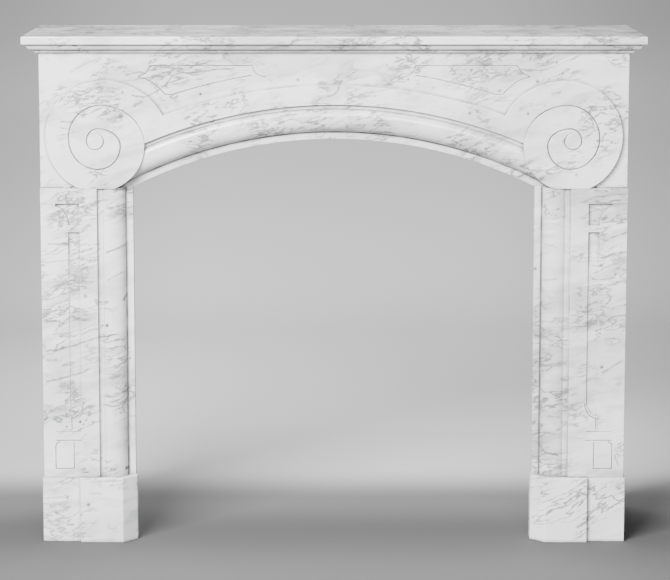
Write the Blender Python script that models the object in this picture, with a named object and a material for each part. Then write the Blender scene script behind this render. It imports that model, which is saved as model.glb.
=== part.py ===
"""White marble fireplace mantel with an arched frieze and two volutes.

Units are metres, +Z is up and the front faces -Y. The origin is on the floor,
under the middle of the shelf. A setback is how far a face lies behind the
front face that the jambs and the lintel share.
"""
import math

import bmesh
import bpy

# Main sizes
OPENING_WIDTH = 0.835
JAMB_WIDTH = 0.1905
PLINTH_HEIGHT = 0.139
JAMB_HEIGHT = 0.6117
LINTEL_HEIGHT = 0.2814
ARCH_RISE = 0.100
SLAB_THICKNESS = 0.050
RETURN_THICKNESS = 0.030
JOINT_GAP = 0.0003

# Shelf
SHELF_DEPTH = 0.340
SHELF_FRONT_OVERHANG = 0.022
SHELF_SIDE_OVERHANG = 0.032
SHELF_FILLET_HEIGHT = 0.0055
SHELF_FILLET_INSET = 0.0245
OVOLO_HEIGHT = 0.0115
OVOLO_FOOT_INSET = 0.0185
OVOLO_HEAD_INSET = 0.0095
SHELF_BAND_HEIGHT = 0.017
SHELF_ARRIS = 0.003
OVOLO_STEPS = 6
ARRIS_STEPS = 3

# Roll moulding round the opening, its widths counted from the opening outwards
INNER_FILLET_WIDTH = 0.0135
INNER_FILLET_SETBACK = 0.027
QUIRK_WIDTH = 0.0025
QUIRK_DEPTH = 0.004
ROLL_INNER_WIDTH = 0.031
ROLL_OUTER_WIDTH = 0.0165
ROLL_CROWN_SETBACK = 0.003
ROLL_OUTER_FALL = 0.008
OUTER_QUIRK_WIDTH = 0.0015
OUTER_FILLET_WIDTH = 0.0085
OUTER_FILLET_SETBACK = 0.004
ROLL_STEPS = 7

# Lintel relief
LINTEL_FIELD_SETBACK = 0.010
BAND_WIDTH = 0.0395
ARCH_STEPS = 20
PANEL_RELIEF = 0.002
PANEL_TOP_MARGIN = 0.0277
PANEL_ARCH_MARGIN = 0.033
PANEL_INNER_END = 0.167
PANEL_CURL_WIDTH = 0.033
PANEL_OUTER_END = 0.375
PANEL_POINT_OUT = 0.014
PANEL_POINT_DROP = 0.0155
PANEL_HEEL = 0.347
PANEL_STEPS = 6

# Volutes. The eye is placed from the opening's side and the lintel's foot. The spiral's
# turning points, as distances out from and up from the eye, are where it runs upright
# and level by turns, and a quarter of an ellipse joins each to the next.
VOLUTE_EYE_OUT = 0.0725
VOLUTE_EYE_UP = 0.0925
SPIRAL_TURNING_POINTS = (
    (-0.1496, 0.0062),
    (-0.0146, 0.1302),
    (0.1054, 0.0167),
    (0.0010, -0.1000),
    (-0.0987, -0.0042),
    (-0.0083, 0.0783),
    (0.0563, 0.0115),
    (-0.0029, -0.0517),
    (-0.0479, -0.0042),
    (-0.0031, 0.0333),
    (0.0160, 0.0062),
    (0.0010, -0.0125),
    (-0.0110, -0.0062),
)
DISC_TURNING_POINT = 4
SPIRAL_STEPS = 9
SPIRAL_GROOVE = 0.0018

# Jamb relief
STRIP_WIDTH = 0.0365
CHANNEL_WIDTH = 0.0235
CHANNEL_SETBACK = 0.010
FIELD_SETBACK = 0.006
HEAD_HEIGHT = 0.032
FIELD_ROUND_HEIGHT = 0.054
FIELD_CREST_RISE = 0.002
TAB_DROP = 0.0755
TAB_HEIGHT = 0.017
TAB_OVERLAP = 0.0085
TAB_SETBACK = 0.002
SWEEP_UP = 0.179
SWEEP_RADIUS = 0.042
SWEEP_FOOT_WIDTH = 0.026
BAR_UP = 0.089
BAR_HEIGHT = 0.0135
BAR_WIDTH = 0.0565
BOX_UP = 0.019
BOX_HEIGHT = 0.054
BOX_WIDTH = 0.038
BOX_OUT = 0.0185
BOX_ROUND = 0.017
ORNAMENT_SETBACK = 0.003
CURVE_STEPS = 8

# Plinths
PLINTH_PROJECTION = 0.008
PLINTH_STEP_SETBACK = 0.009
PLINTH_SIDE_PROJECTION = 0.0035
PLINTH_INNER_PROJECTION = 0.0035
PLINTH_CHAMFER = 0.029
PLINTH_FRONT_WIDTH = 0.089

# Allowances for joining shapes: how deep one is sunk into the next, how far they run
# past the slab that they are trimmed to, and how far they lap where they only meet
EMBED_DEPTH = 0.012
RUN_ON_ANGLE = 0.01
TRIM_MARGIN = 0.02
LAP = 0.0006

COLLECTION_NAME = "fireplace_mantel"
CUTTER_COLLECTION_NAME = "cutters"
MARBLE_COLOUR = (0.78, 0.78, 0.785, 1.0)
MARBLE_ROUGHNESS = 0.32
WELD_DISTANCE = 1e-6

# Places worked out from the sizes
BACK_Y = SHELF_DEPTH / 2
FRONT_Y = -SHELF_DEPTH / 2 + SHELF_FRONT_OVERHANG
SLAB_BACK_Y = FRONT_Y + SLAB_THICKNESS
OPENING_X = OPENING_WIDTH / 2
OUTER_X = OPENING_X + JAMB_WIDTH
SHELF_END_X = OUTER_X + SHELF_SIDE_OVERHANG
JAMB_FOOT_Z = PLINTH_HEIGHT + JOINT_GAP
JAMB_HEAD_Z = JAMB_FOOT_Z + JAMB_HEIGHT
LINTEL_FOOT_Z = JAMB_HEAD_Z + JOINT_GAP
LINTEL_HEAD_Z = LINTEL_FOOT_Z + LINTEL_HEIGHT
SHELF_FOOT_Z = LINTEL_HEAD_Z + JOINT_GAP
ROLL_START = INNER_FILLET_WIDTH + QUIRK_WIDTH
ROLL_CROWN = ROLL_START + ROLL_INNER_WIDTH
ROLL_END = ROLL_CROWN + ROLL_OUTER_WIDTH
OUTER_FILLET_START = ROLL_END + OUTER_QUIRK_WIDTH
MOULDING_WIDTH = OUTER_FILLET_START + OUTER_FILLET_WIDTH
STRIP_X = OPENING_X + MOULDING_WIDTH
CHANNEL_X = STRIP_X + STRIP_WIDTH
FIELD_X = CHANNEL_X + CHANNEL_WIDTH
ARCH_RADIUS = (OPENING_X ** 2 + ARCH_RISE ** 2) / (2 * ARCH_RISE)
ARCH_CENTRE_Z = LINTEL_FOOT_Z + ARCH_RISE - ARCH_RADIUS
BODY_RADIUS = ARCH_RADIUS + ROLL_CROWN
BAND_RADIUS = ARCH_RADIUS + MOULDING_WIDTH
BAND_OUTER_RADIUS = BAND_RADIUS + BAND_WIDTH
PANEL_RADIUS = BAND_OUTER_RADIUS + PANEL_ARCH_MARGIN
EYE_X = OPENING_X + VOLUTE_EYE_OUT
EYE_Z = LINTEL_FOOT_Z + VOLUTE_EYE_UP
SPIRAL_END = len(SPIRAL_TURNING_POINTS) - 1


def clear_scene():
    """Remove the objects that the file opened with."""
    for obj in list(bpy.data.objects):
        bpy.data.objects.remove(obj)


def new_collection(name):
    collection = bpy.data.collections.new(name)
    bpy.context.scene.collection.children.link(collection)
    return collection


def marble(name):
    """Return a marble material of one piece's own."""
    material = bpy.data.materials.new(name + "_marble")
    material.use_nodes = True
    shader = material.node_tree.nodes["Principled BSDF"]
    shader.inputs["Base Color"].default_value = MARBLE_COLOUR
    shader.inputs["Roughness"].default_value = MARBLE_ROUGHNESS
    shader.inputs["Metallic"].default_value = 0.0
    return material


def add_object(name, mesh, collection):
    """Add a mesh as an object; one among the cutters is only drawn as wire."""
    obj = bpy.data.objects.new(name, mesh)
    collection.objects.link(obj)
    if collection.name == CUTTER_COLLECTION_NAME:
        obj.hide_render = True
        obj.display_type = "WIRE"
    else:
        mesh.materials.append(marble(name))
    return obj


def object_from_build(name, build, collection):
    bmesh.ops.recalc_face_normals(build, faces=build.faces)
    mesh = bpy.data.meshes.new(name)
    build.to_mesh(mesh)
    build.free()
    return add_object(name, mesh, collection)


def mesh_from_curve(curve_object, collection):
    """Replace a curve object by a welded mesh object of the same name."""
    name = curve_object.name
    bpy.context.view_layer.update()
    depsgraph = bpy.context.evaluated_depsgraph_get()
    mesh = bpy.data.meshes.new_from_object(curve_object.evaluated_get(depsgraph))
    matrix = curve_object.matrix_world.copy()
    bpy.data.objects.remove(curve_object)
    build = bmesh.new()
    build.from_mesh(mesh)
    bpy.data.meshes.remove(mesh)
    bmesh.ops.remove_doubles(build, verts=build.verts, dist=WELD_DISTANCE)
    obj = object_from_build(name, build, collection)
    obj.matrix_world = matrix
    return obj


def add_poly_spline(curve, points, cyclic):
    spline = curve.splines.new("POLY")
    spline.points.add(len(points) - 1)
    for point, (x, z) in zip(spline.points, points):
        point.co = (x, z, 0.0, 1.0)
    spline.use_cyclic_u = cyclic


def stand_curve(name, curve, y, collection):
    """Stand a flat curve up, so that its own y becomes the height."""
    obj = bpy.data.objects.new(name, curve)
    bpy.context.scene.collection.objects.link(obj)
    obj.location = (0.0, y, 0.0)
    obj.rotation_euler = (math.pi / 2, 0.0, 0.0)
    return mesh_from_curve(obj, collection)


def plate(name, outline, front_y, back_y, collection):
    """Make a plate with an outline of (x, z) points, from front_y back to back_y."""
    curve = bpy.data.curves.new(name, "CURVE")
    curve.dimensions = "2D"
    curve.fill_mode = "BOTH"
    curve.extrude = (back_y - front_y) / 2
    add_poly_spline(curve, outline, True)
    return stand_curve(name, curve, (front_y + back_y) / 2, collection)


def wire(name, points, radius, y, collection):
    """Make a four-sided wire along (x, z) points in the plane at y."""
    curve = bpy.data.curves.new(name, "CURVE")
    curve.dimensions = "3D"
    curve.bevel_depth = radius
    curve.bevel_resolution = 0
    curve.use_fill_caps = True
    add_poly_spline(curve, points, False)
    return stand_curve(name, curve, y, collection)


def upright_prism(name, plan, foot_z, head_z, collection):
    """Raise a plan of (x, y) points from foot_z to head_z."""
    build = bmesh.new()
    face = build.faces.new([build.verts.new((x, y, foot_z)) for x, y in plan])
    raised = bmesh.ops.extrude_face_region(build, geom=[face])["geom"]
    head = [item for item in raised if isinstance(item, bmesh.types.BMVert)]
    bmesh.ops.translate(build, verts=head, vec=(0.0, 0.0, head_z - foot_z))
    return object_from_build(name, build, collection)


def box(name, low, high, collection):
    """Make a box between two opposite corners."""
    build = bmesh.new()
    cube = bmesh.ops.create_cube(build, size=1.0)["verts"]
    bmesh.ops.scale(build, verts=cube, vec=[b - a for a, b in zip(low, high)])
    bmesh.ops.translate(build, verts=cube, vec=[(a + b) / 2 for a, b in zip(low, high)])
    return object_from_build(name, build, collection)


def combine(target, other, operation):
    """Join another shape to the target, or cut it away."""
    modifier = target.modifiers.new(other.name, "BOOLEAN")
    modifier.operation = operation
    modifier.solver = "EXACT"
    modifier.object = other


def rectangle(low, high):
    return [(low[0], low[1]), (high[0], low[1]), (high[0], high[1]), (low[0], high[1])]


def on_side(points, side):
    """Turn points of the right-hand side, +1, into points of the side asked for."""
    return [(side * x, z) for x, z in points]


def mirrored(points):
    return [(-x, z) for x, z in reversed(points)]


def arc(centre, radius, start, end, steps):
    """Points on a circle; the angles turn from +x towards the second axis."""
    angles = [start + (end - start) * index / steps for index in range(steps + 1)]
    return [(centre[0] + radius * math.cos(angle), centre[1] + radius * math.sin(angle))
            for angle in angles]


def quarter_ellipse(start, end, upright_first, turn):
    """Point at a share of the quarter ellipse between two turning points."""
    centre = (end[0], start[1]) if upright_first else (start[0], end[1])
    from_start = math.cos(math.pi / 2 * turn)
    from_end = math.sin(math.pi / 2 * turn)
    return tuple(centre[axis] + (start[axis] - centre[axis]) * from_start
                 + (end[axis] - centre[axis]) * from_end for axis in (0, 1))


def arch_height(radius, x):
    return ARCH_CENTRE_Z + math.sqrt(radius ** 2 - x ** 2)


def arch_arc(radius, start_x, end_x, steps):
    """Points along a circle of the arch between two distances from the middle."""
    return arc((0.0, ARCH_CENTRE_Z), radius, math.acos(start_x / radius), math.acos(end_x / radius), steps)


def spiral_point(turn):
    """Point of the right-hand spiral; whole numbers are its turning points."""
    index = min(int(turn), SPIRAL_END - 1)
    first, second = SPIRAL_TURNING_POINTS[index:index + 2]
    out, up = quarter_ellipse(first, second, index % 2 == 0, turn - index)
    return EYE_X + out, EYE_Z + up


def spiral_points(first, last):
    """Points of the spiral between two turns, with its turning points among them."""
    turns = [first]
    turns += [step / SPIRAL_STEPS for step in range(SPIRAL_END * SPIRAL_STEPS)
              if first < step / SPIRAL_STEPS < last]
    turns.append(last)
    return [spiral_point(turn) for turn in turns]


def spiral_crossing(radius, inside, outside):
    """Turn at which the spiral crosses a circle of the arch."""
    for _ in range(40):
        middle = (inside + outside) / 2
        x, z = spiral_point(middle)
        if math.hypot(x, z - ARCH_CENTRE_Z) < radius:
            inside = middle
        else:
            outside = middle
    return middle


def moulding_section():
    """Section of the roll moulding as (out from the opening, setback) points."""
    back = SLAB_THICKNESS + 2 * TRIM_MARGIN
    section = [
        (0.0, back),
        (0.0, INNER_FILLET_SETBACK),
        (INNER_FILLET_WIDTH, INNER_FILLET_SETBACK),
        (INNER_FILLET_WIDTH, INNER_FILLET_SETBACK + QUIRK_DEPTH),
        (ROLL_START, INNER_FILLET_SETBACK + QUIRK_DEPTH),
    ]
    start = (ROLL_START, INNER_FILLET_SETBACK)
    crown = (ROLL_CROWN, ROLL_CROWN_SETBACK)
    end = (ROLL_END, ROLL_CROWN_SETBACK + ROLL_OUTER_FALL)
    section += [quarter_ellipse(start, crown, True, step / ROLL_STEPS) for step in range(ROLL_STEPS)]
    section += [quarter_ellipse(crown, end, False, step / ROLL_STEPS) for step in range(ROLL_STEPS + 1)]
    section += [
        (OUTER_FILLET_START, end[1]),
        (OUTER_FILLET_START, OUTER_FILLET_SETBACK),
        (MOULDING_WIDTH, OUTER_FILLET_SETBACK),
        (MOULDING_WIDTH + EMBED_DEPTH, EMBED_DEPTH),
        (MOULDING_WIDTH + EMBED_DEPTH, back),
    ]
    return section


def make_arch_moulding(cutters):
    """Turn the roll moulding about the arch's centre, past both of its feet."""
    reach = math.acos((LINTEL_FOOT_Z - ARCH_CENTRE_Z) / BODY_RADIUS) + RUN_ON_ANGLE
    build = bmesh.new()
    verts = []
    for out, setback in moulding_section():
        radius = ARCH_RADIUS + out
        place = (-radius * math.sin(reach), FRONT_Y + setback, ARCH_CENTRE_Z + radius * math.cos(reach))
        verts.append(build.verts.new(place))
    face = build.faces.new(verts)
    bmesh.ops.spin(build, geom=[face], cent=(0.0, 0.0, ARCH_CENTRE_Z), axis=(0.0, 1.0, 0.0),
                   angle=2 * reach, steps=2 * ARCH_STEPS)
    return object_from_build("arch_moulding", build, cutters)


def lintel_outline():
    """Outline of the untrimmed lintel, whose arch edge is hidden in the roll."""
    foot_z = LINTEL_FOOT_Z - TRIM_MARGIN
    end_x = OUTER_X + TRIM_MARGIN
    reach_x = math.sqrt(BODY_RADIUS ** 2 - (foot_z - ARCH_CENTRE_Z) ** 2)
    right = arch_arc(BODY_RADIUS, 0.0, reach_x, ARCH_STEPS)
    right += [(end_x, foot_z), (end_x, LINTEL_HEAD_Z + TRIM_MARGIN)]
    return right + mirrored(right[1:])


def scroll_outline():
    """Outline of the band and both volutes, which run into each other."""
    head_turn = spiral_crossing(BAND_OUTER_RADIUS, 0.0, 1.0)
    disc_turn = spiral_crossing(BAND_RADIUS, DISC_TURNING_POINT - 0.5, DISC_TURNING_POINT + 0.9)
    right = arch_arc(BAND_OUTER_RADIUS, 0.0, spiral_point(head_turn)[0], ARCH_STEPS)[:-1]
    right += spiral_points(head_turn, disc_turn)
    right += arch_arc(BAND_RADIUS, spiral_point(disc_turn)[0], 0.0, ARCH_STEPS)[1:]
    return right + mirrored(right[1:-1])


def panel_outline():
    """Outline of the right-hand frieze panel: a curl, a level head and a point."""
    head_z = LINTEL_HEAD_Z - PANEL_TOP_MARGIN
    curl_x = PANEL_INNER_END - PANEL_CURL_WIDTH
    outline = arch_arc(PANEL_RADIUS, PANEL_HEEL, PANEL_INNER_END, 2 * PANEL_STEPS)
    outline.append((curl_x, arch_height(PANEL_RADIUS, PANEL_INNER_END)))
    start = (curl_x, outline[-1][1])
    end = (PANEL_INNER_END, head_z)
    outline += [quarter_ellipse(start, end, False, step / PANEL_STEPS) for step in range(1, PANEL_STEPS)]
    outline += [end, (PANEL_OUTER_END, head_z),
                (PANEL_OUTER_END + PANEL_POINT_OUT, head_z - PANEL_POINT_DROP)]
    return outline


def make_lintel(parts, cutters):
    field_y = FRONT_Y + LINTEL_FIELD_SETBACK
    embed_y = field_y + EMBED_DEPTH
    lintel = plate("lintel", lintel_outline(), field_y, SLAB_BACK_Y + TRIM_MARGIN, parts)
    combine(lintel, make_arch_moulding(cutters), "UNION")
    combine(lintel, plate("band_and_volutes", scroll_outline(), FRONT_Y, embed_y, cutters), "UNION")
    for name, side in (("left", -1), ("right", 1)):
        panel = plate("frieze_panel_" + name, on_side(panel_outline(), side), field_y - PANEL_RELIEF,
                      embed_y, cutters)
        combine(lintel, panel, "UNION")
        path = on_side(spiral_points(DISC_TURNING_POINT, SPIRAL_END), side)
        combine(lintel, wire("spiral_groove_" + name, path, SPIRAL_GROOVE, FRONT_Y, cutters), "DIFFERENCE")
    trim = box("lintel_slab", (-OUTER_X, FRONT_Y - TRIM_MARGIN, LINTEL_FOOT_Z),
               (OUTER_X, SLAB_BACK_Y, LINTEL_HEAD_Z), cutters)
    combine(lintel, trim, "INTERSECT")


def strip_outline():
    """Front face of a right-hand jamb: inner strip, head and the foot of the sweep."""
    sweep = (CHANNEL_X + SWEEP_RADIUS, JAMB_FOOT_Z + SWEEP_UP)
    foot_x = CHANNEL_X + SWEEP_FOOT_WIDTH
    sweep_end = math.pi + math.acos(1 - SWEEP_FOOT_WIDTH / SWEEP_RADIUS)
    low_z = JAMB_FOOT_Z - TRIM_MARGIN
    high_z = JAMB_HEAD_Z + TRIM_MARGIN
    lap_z = JAMB_FOOT_Z + BAR_UP + BAR_HEIGHT - LAP
    head_foot_z = JAMB_HEAD_Z - HEAD_HEIGHT
    outline = [(STRIP_X, low_z), (CHANNEL_X, low_z), (CHANNEL_X, lap_z), (foot_x, lap_z)]
    outline += arc(sweep, SWEEP_RADIUS, sweep_end, math.pi, CURVE_STEPS)
    outline += [(CHANNEL_X, head_foot_z), (OUTER_X + TRIM_MARGIN, head_foot_z),
                (OUTER_X + TRIM_MARGIN, high_z), (STRIP_X, high_z)]
    return outline


def field_outline():
    """Outer field of a right-hand jamb, rounded at its head and cut by the sweep."""
    sweep = (CHANNEL_X + SWEEP_RADIUS, JAMB_FOOT_Z + SWEEP_UP)
    sweep_end = math.pi + math.acos(1 - SWEEP_FOOT_WIDTH / SWEEP_RADIUS)
    low_z = JAMB_FOOT_Z - TRIM_MARGIN
    crest_z = JAMB_HEAD_Z - HEAD_HEIGHT + FIELD_CREST_RISE
    hidden_x = CHANNEL_X - EMBED_DEPTH
    shoulder = (FIELD_X, crest_z - FIELD_ROUND_HEIGHT)
    crest = (OUTER_X, crest_z)
    outline = [(hidden_x, low_z), (OUTER_X + TRIM_MARGIN, low_z), (OUTER_X + TRIM_MARGIN, crest_z)]
    outline += [quarter_ellipse(shoulder, crest, True, 1 - step / CURVE_STEPS)
                for step in range(CURVE_STEPS + 1)]
    outline += arc(sweep, SWEEP_RADIUS - CHANNEL_WIDTH, math.pi, 1.5 * math.pi, CURVE_STEPS)
    outline += arc(sweep, SWEEP_RADIUS, 1.5 * math.pi, sweep_end, CURVE_STEPS)
    outline.append((hidden_x, outline[-1][1]))
    return outline


def ornament_outlines():
    """Tab, bar and box of a right-hand jamb, each with its name and setback."""
    tab_head = JAMB_HEAD_Z - TAB_DROP
    bar_foot = JAMB_FOOT_Z + BAR_UP
    box_foot = JAMB_FOOT_Z + BOX_UP
    box_low = (CHANNEL_X + BOX_OUT, box_foot)
    box_high = (CHANNEL_X + BOX_OUT + BOX_WIDTH, box_foot + BOX_HEIGHT)
    rounded_box = [box_low, (box_high[0], box_low[1])]
    rounded_box += arc((box_high[0] - BOX_ROUND, box_high[1] - BOX_ROUND), BOX_ROUND, 0.0, math.pi / 2,
                       CURVE_STEPS)
    rounded_box.append((box_low[0], box_high[1]))
    tab_low = (CHANNEL_X - EMBED_DEPTH, tab_head - TAB_HEIGHT)
    tab_high = (FIELD_X + TAB_OVERLAP, tab_head)
    bar_low = (CHANNEL_X - EMBED_DEPTH, bar_foot)
    bar_high = (CHANNEL_X + BAR_WIDTH, bar_foot + BAR_HEIGHT)
    return (("tab", TAB_SETBACK, rectangle(tab_low, tab_high)),
            ("bar", ORNAMENT_SETBACK, rectangle(bar_low, bar_high)),
            ("box", ORNAMENT_SETBACK, rounded_box))


def make_jamb(name, side, parts, cutters):
    """Make one jamb from its body, roll moulding, field, strip and ornaments."""
    embed_y = FRONT_Y + CHANNEL_SETBACK + EMBED_DEPTH
    low_z = JAMB_FOOT_Z - TRIM_MARGIN
    high_z = JAMB_HEAD_Z + TRIM_MARGIN
    body = rectangle((OPENING_X + ROLL_CROWN, low_z), (OUTER_X + TRIM_MARGIN, high_z))
    jamb = plate(name, on_side(body, side), FRONT_Y + CHANNEL_SETBACK, SLAB_BACK_Y + TRIM_MARGIN, parts)
    plan = [(OPENING_X + out, FRONT_Y + setback) for out, setback in moulding_section()]
    moulding = upright_prism(name + "_moulding", on_side(plan, side), low_z, high_z, cutters)
    combine(jamb, moulding, "UNION")
    shapes = (("field", FIELD_SETBACK, field_outline()), ("strip", 0.0, strip_outline()))
    for shape, setback, outline in shapes + ornament_outlines():
        relief = plate(name + "_" + shape, on_side(outline, side), FRONT_Y + setback, embed_y, cutters)
        combine(jamb, relief, "UNION")
    inner_x, outer_x = sorted((side * (OPENING_X - TRIM_MARGIN), side * OUTER_X))
    trim = box(name + "_slab", (inner_x, FRONT_Y - TRIM_MARGIN, JAMB_FOOT_Z),
               (outer_x, SLAB_BACK_Y, JAMB_HEAD_Z), cutters)
    combine(jamb, trim, "INTERSECT")


def make_plinth(name, side, parts):
    """Make one plinth block, chamfered at the opening and stepped back outside."""
    front_y = FRONT_Y - PLINTH_PROJECTION
    inner_x = OPENING_X - PLINTH_INNER_PROJECTION
    outer_x = OUTER_X + PLINTH_SIDE_PROJECTION
    chamfer_x = inner_x + PLINTH_CHAMFER
    step_x = chamfer_x + PLINTH_FRONT_WIDTH
    plan = [(inner_x, SLAB_BACK_Y), (inner_x, front_y + PLINTH_CHAMFER), (chamfer_x, front_y),
            (step_x, front_y), (step_x, front_y + PLINTH_STEP_SETBACK),
            (outer_x, front_y + PLINTH_STEP_SETBACK), (outer_x, SLAB_BACK_Y)]
    upright_prism(name, on_side(plan, side), 0.0, PLINTH_HEIGHT, parts)


def make_return(name, side, parts):
    """Make the plain side slab between a jamb, the wall and the shelf."""
    inner_x, outer_x = sorted((side * (OUTER_X - RETURN_THICKNESS), side * OUTER_X))
    box(name, (inner_x, SLAB_BACK_Y + JOINT_GAP, JAMB_FOOT_Z), (outer_x, BACK_Y, LINTEL_HEAD_Z), parts)


def make_plinth_return(name, side, parts):
    """Make the plinth of the side slab."""
    outer = OUTER_X + PLINTH_SIDE_PROJECTION
    inner_x, outer_x = sorted((side * (OUTER_X - RETURN_THICKNESS), side * outer))
    box(name, (inner_x, SLAB_BACK_Y + JOINT_GAP, 0.0), (outer_x, BACK_Y, PLINTH_HEIGHT), parts)


def shelf_profile():
    """Edge of the shelf from its foot up, as (inset, height) points."""
    ovolo_foot = SHELF_FILLET_HEIGHT
    ovolo_head = ovolo_foot + OVOLO_HEIGHT
    head = ovolo_head + SHELF_BAND_HEIGHT
    profile = [(SHELF_FILLET_INSET, 0.0), (SHELF_FILLET_INSET, ovolo_foot)]
    profile += [quarter_ellipse((OVOLO_FOOT_INSET, ovolo_foot), (OVOLO_HEAD_INSET, ovolo_head), False,
                                step / OVOLO_STEPS) for step in range(OVOLO_STEPS + 1)]
    profile += arc((SHELF_ARRIS, ovolo_head + SHELF_ARRIS), SHELF_ARRIS, -math.pi / 2, -math.pi,
                   ARRIS_STEPS)
    profile += arc((SHELF_ARRIS, head - SHELF_ARRIS), SHELF_ARRIS, math.pi, math.pi / 2, ARRIS_STEPS)
    return profile


def make_shelf(parts):
    """Raise the shelf's plan step by step, drawn in or out by its edge profile."""
    profile = shelf_profile()
    first_inset = profile[0][0]
    build = bmesh.new()
    plan = rectangle((-SHELF_END_X + first_inset, -SHELF_DEPTH / 2 + first_inset),
                     (SHELF_END_X - first_inset, BACK_Y))
    ring = build.faces.new([build.verts.new((x, y, SHELF_FOOT_Z)) for x, y in plan])
    inner_rings = []
    for inset, height in profile[1:]:
        raised = bmesh.ops.extrude_face_region(build, geom=[ring])["geom"]
        ring = next(item for item in raised if isinstance(item, bmesh.types.BMFace))
        inner_rings.append(ring)
        for vert in ring.verts:
            vert.co.x = math.copysign(SHELF_END_X - inset, vert.co.x)
            vert.co.y = BACK_Y if vert.co.y > 0.0 else -SHELF_DEPTH / 2 + inset
            vert.co.z = SHELF_FOOT_Z + height
    bmesh.ops.delete(build, geom=inner_rings[:-1], context="FACES_ONLY")
    return object_from_build("shelf", build, parts)


def main():
    clear_scene()
    parts = new_collection(COLLECTION_NAME)
    cutters = new_collection(CUTTER_COLLECTION_NAME)
    make_shelf(parts)
    make_lintel(parts, cutters)
    for name, side in (("left", -1), ("right", 1)):
        make_jamb("jamb_" + name, side, parts, cutters)
        make_plinth("plinth_" + name, side, parts)
        make_return("return_" + name, side, parts)
        make_plinth_return("plinth_return_" + name, side, parts)


main()
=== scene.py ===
"""Dress the fireplace mantel in carved, veined marble and set it in a plain studio.

Units are metres, +Z is up and the front faces -Y. A setback is how far a face lies
behind the front face that the jambs and the lintel share.
"""

import math

import bmesh
import bpy
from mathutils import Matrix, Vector


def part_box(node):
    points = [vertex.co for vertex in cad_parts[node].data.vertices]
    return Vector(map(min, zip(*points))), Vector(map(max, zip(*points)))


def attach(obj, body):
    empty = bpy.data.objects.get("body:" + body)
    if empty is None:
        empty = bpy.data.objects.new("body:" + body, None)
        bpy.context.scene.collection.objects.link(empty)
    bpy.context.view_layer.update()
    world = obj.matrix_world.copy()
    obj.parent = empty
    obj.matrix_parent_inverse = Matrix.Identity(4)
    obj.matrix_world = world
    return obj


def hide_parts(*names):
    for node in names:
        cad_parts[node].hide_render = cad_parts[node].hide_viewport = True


bl_info = {
    "name": "Marble Fireplace Mantel",
    "version": (1, 0, 0),
    "blender": (4, 5, 0),
    "location": "3D View > Sidebar > Mantel",
    "description": "Models a carved marble mantel with an arched frieze and two volutes",
    "category": "Object",
}

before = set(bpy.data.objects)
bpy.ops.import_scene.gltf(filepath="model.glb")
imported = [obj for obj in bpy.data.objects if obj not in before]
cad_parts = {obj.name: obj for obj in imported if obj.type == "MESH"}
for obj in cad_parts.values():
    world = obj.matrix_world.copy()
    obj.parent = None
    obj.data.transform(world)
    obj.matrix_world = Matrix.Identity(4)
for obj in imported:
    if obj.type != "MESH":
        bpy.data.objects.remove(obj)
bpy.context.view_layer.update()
shelf_low, shelf_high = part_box("shelf")
lintel_low, lintel_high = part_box("lintel")
jamb_low, jamb_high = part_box("jamb_right")
plinth_low, plinth_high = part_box("plinth_right")

BODY = "root"
FLOAT, VECTOR, COLOR = "NodeSocketFloat", "NodeSocketVector", "NodeSocketColor"
MIX_FIRST, MIX_SECOND, MIX_RESULT = 6, 7, 2  # the colour sockets of a Mix node
SIDES = (("left", -1), ("right", 1))
SHARP_ANGLE = math.radians(32)
EASE_SEGMENTS = 3
SAME_PLACE = 1e-6  # how near two points count as one
EMBED = 0.012  # how far a raised part reaches into the slab behind it
LAP = 0.0008  # how far one plate laps over the next

# Places that the frame gives, and the arch over the opening
OPENING_X = jamb_low.x
OUTER_X = jamb_high.x
FRONT_Y = jamb_low.y
SLAB_BACK_Y = jamb_high.y
ARCH_RISE = 0.100
ARCH_RADIUS = (OPENING_X ** 2 + ARCH_RISE ** 2) / (2 * ARCH_RISE)
ARCH_CENTRE_Z = lintel_low.z + ARCH_RISE - ARCH_RADIUS
PAST_FOOT = math.radians(2)  # how far past its feet the arch moulding turns before it is cut level
BODY_START = 0.6  # how far across the moulding the lintel's own body starts

# Steps in the curves that have no setting of their own
BAND_STEPS = 48
BODY_STEPS = 40
LINE_STEPS = 16
CURL_STEPS = 5
CROWN_STEPS = 18
SWEEP_STEPS = 10
CORNER_STEPS = 6
FALL_STEPS = 10

# Turning points of the right-hand spiral, out from and up from the volute's eye. A turn counts them.
SPIRAL_TURNING_POINTS = (
    (-0.1496, 0.0062),
    (-0.0146, 0.1302),
    (0.1054, 0.0167),
    (0.0010, -0.1000),
    (-0.0987, -0.0042),
    (-0.0083, 0.0783),
    (0.0563, 0.0115),
    (-0.0029, -0.0517),
    (-0.0479, -0.0042),
    (-0.0031, 0.0300),
    (0.0190, 0.0062),
    (0.0030, -0.0105),
    (-0.0135, 0.0060),
    (0.0030, 0.0225),
)
SPIRAL_END = len(SPIRAL_TURNING_POINTS) - 1
TURNS_ROUND = 4  # turning points in one round of the spiral
STEPS_A_TURN = 14
HEAD_SEARCH = (0.0, 1.0)  # turns between which the spiral leaves the band's upper line
DISC_SEARCH = (TURNS_ROUND - 0.5, TURNS_ROUND + 0.9)  # and, a round later, its lower line
HALVINGS = 40  # steps of such a search
GROOVE_OPENS = 3  # how fast the groove opens, per turn
CLOSED_GROOVE = 1e-4
GROOVE_LIMIT = 0.3  # most of the spiral's width that its groove takes
ARRIS_LIMIT = 0.2  # and that each of its arrises takes
GROOVE_FLOOR = 0.35  # share of the groove that is flat

# Outer end of a frieze panel, out and up from its outer corner
PANEL_END = (
    (0.0, 0.0),
    (0.0120, -0.0158),
    (0.0275, -0.0229),
    (0.0097, -0.0283),
    (-0.0017, -0.0345),
    (-0.0173, -0.0481),
    (-0.0288, -0.0595),
)
SHARPEST_MITRE = 0.4  # keeps a line from running far out at a sharp bend

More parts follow.
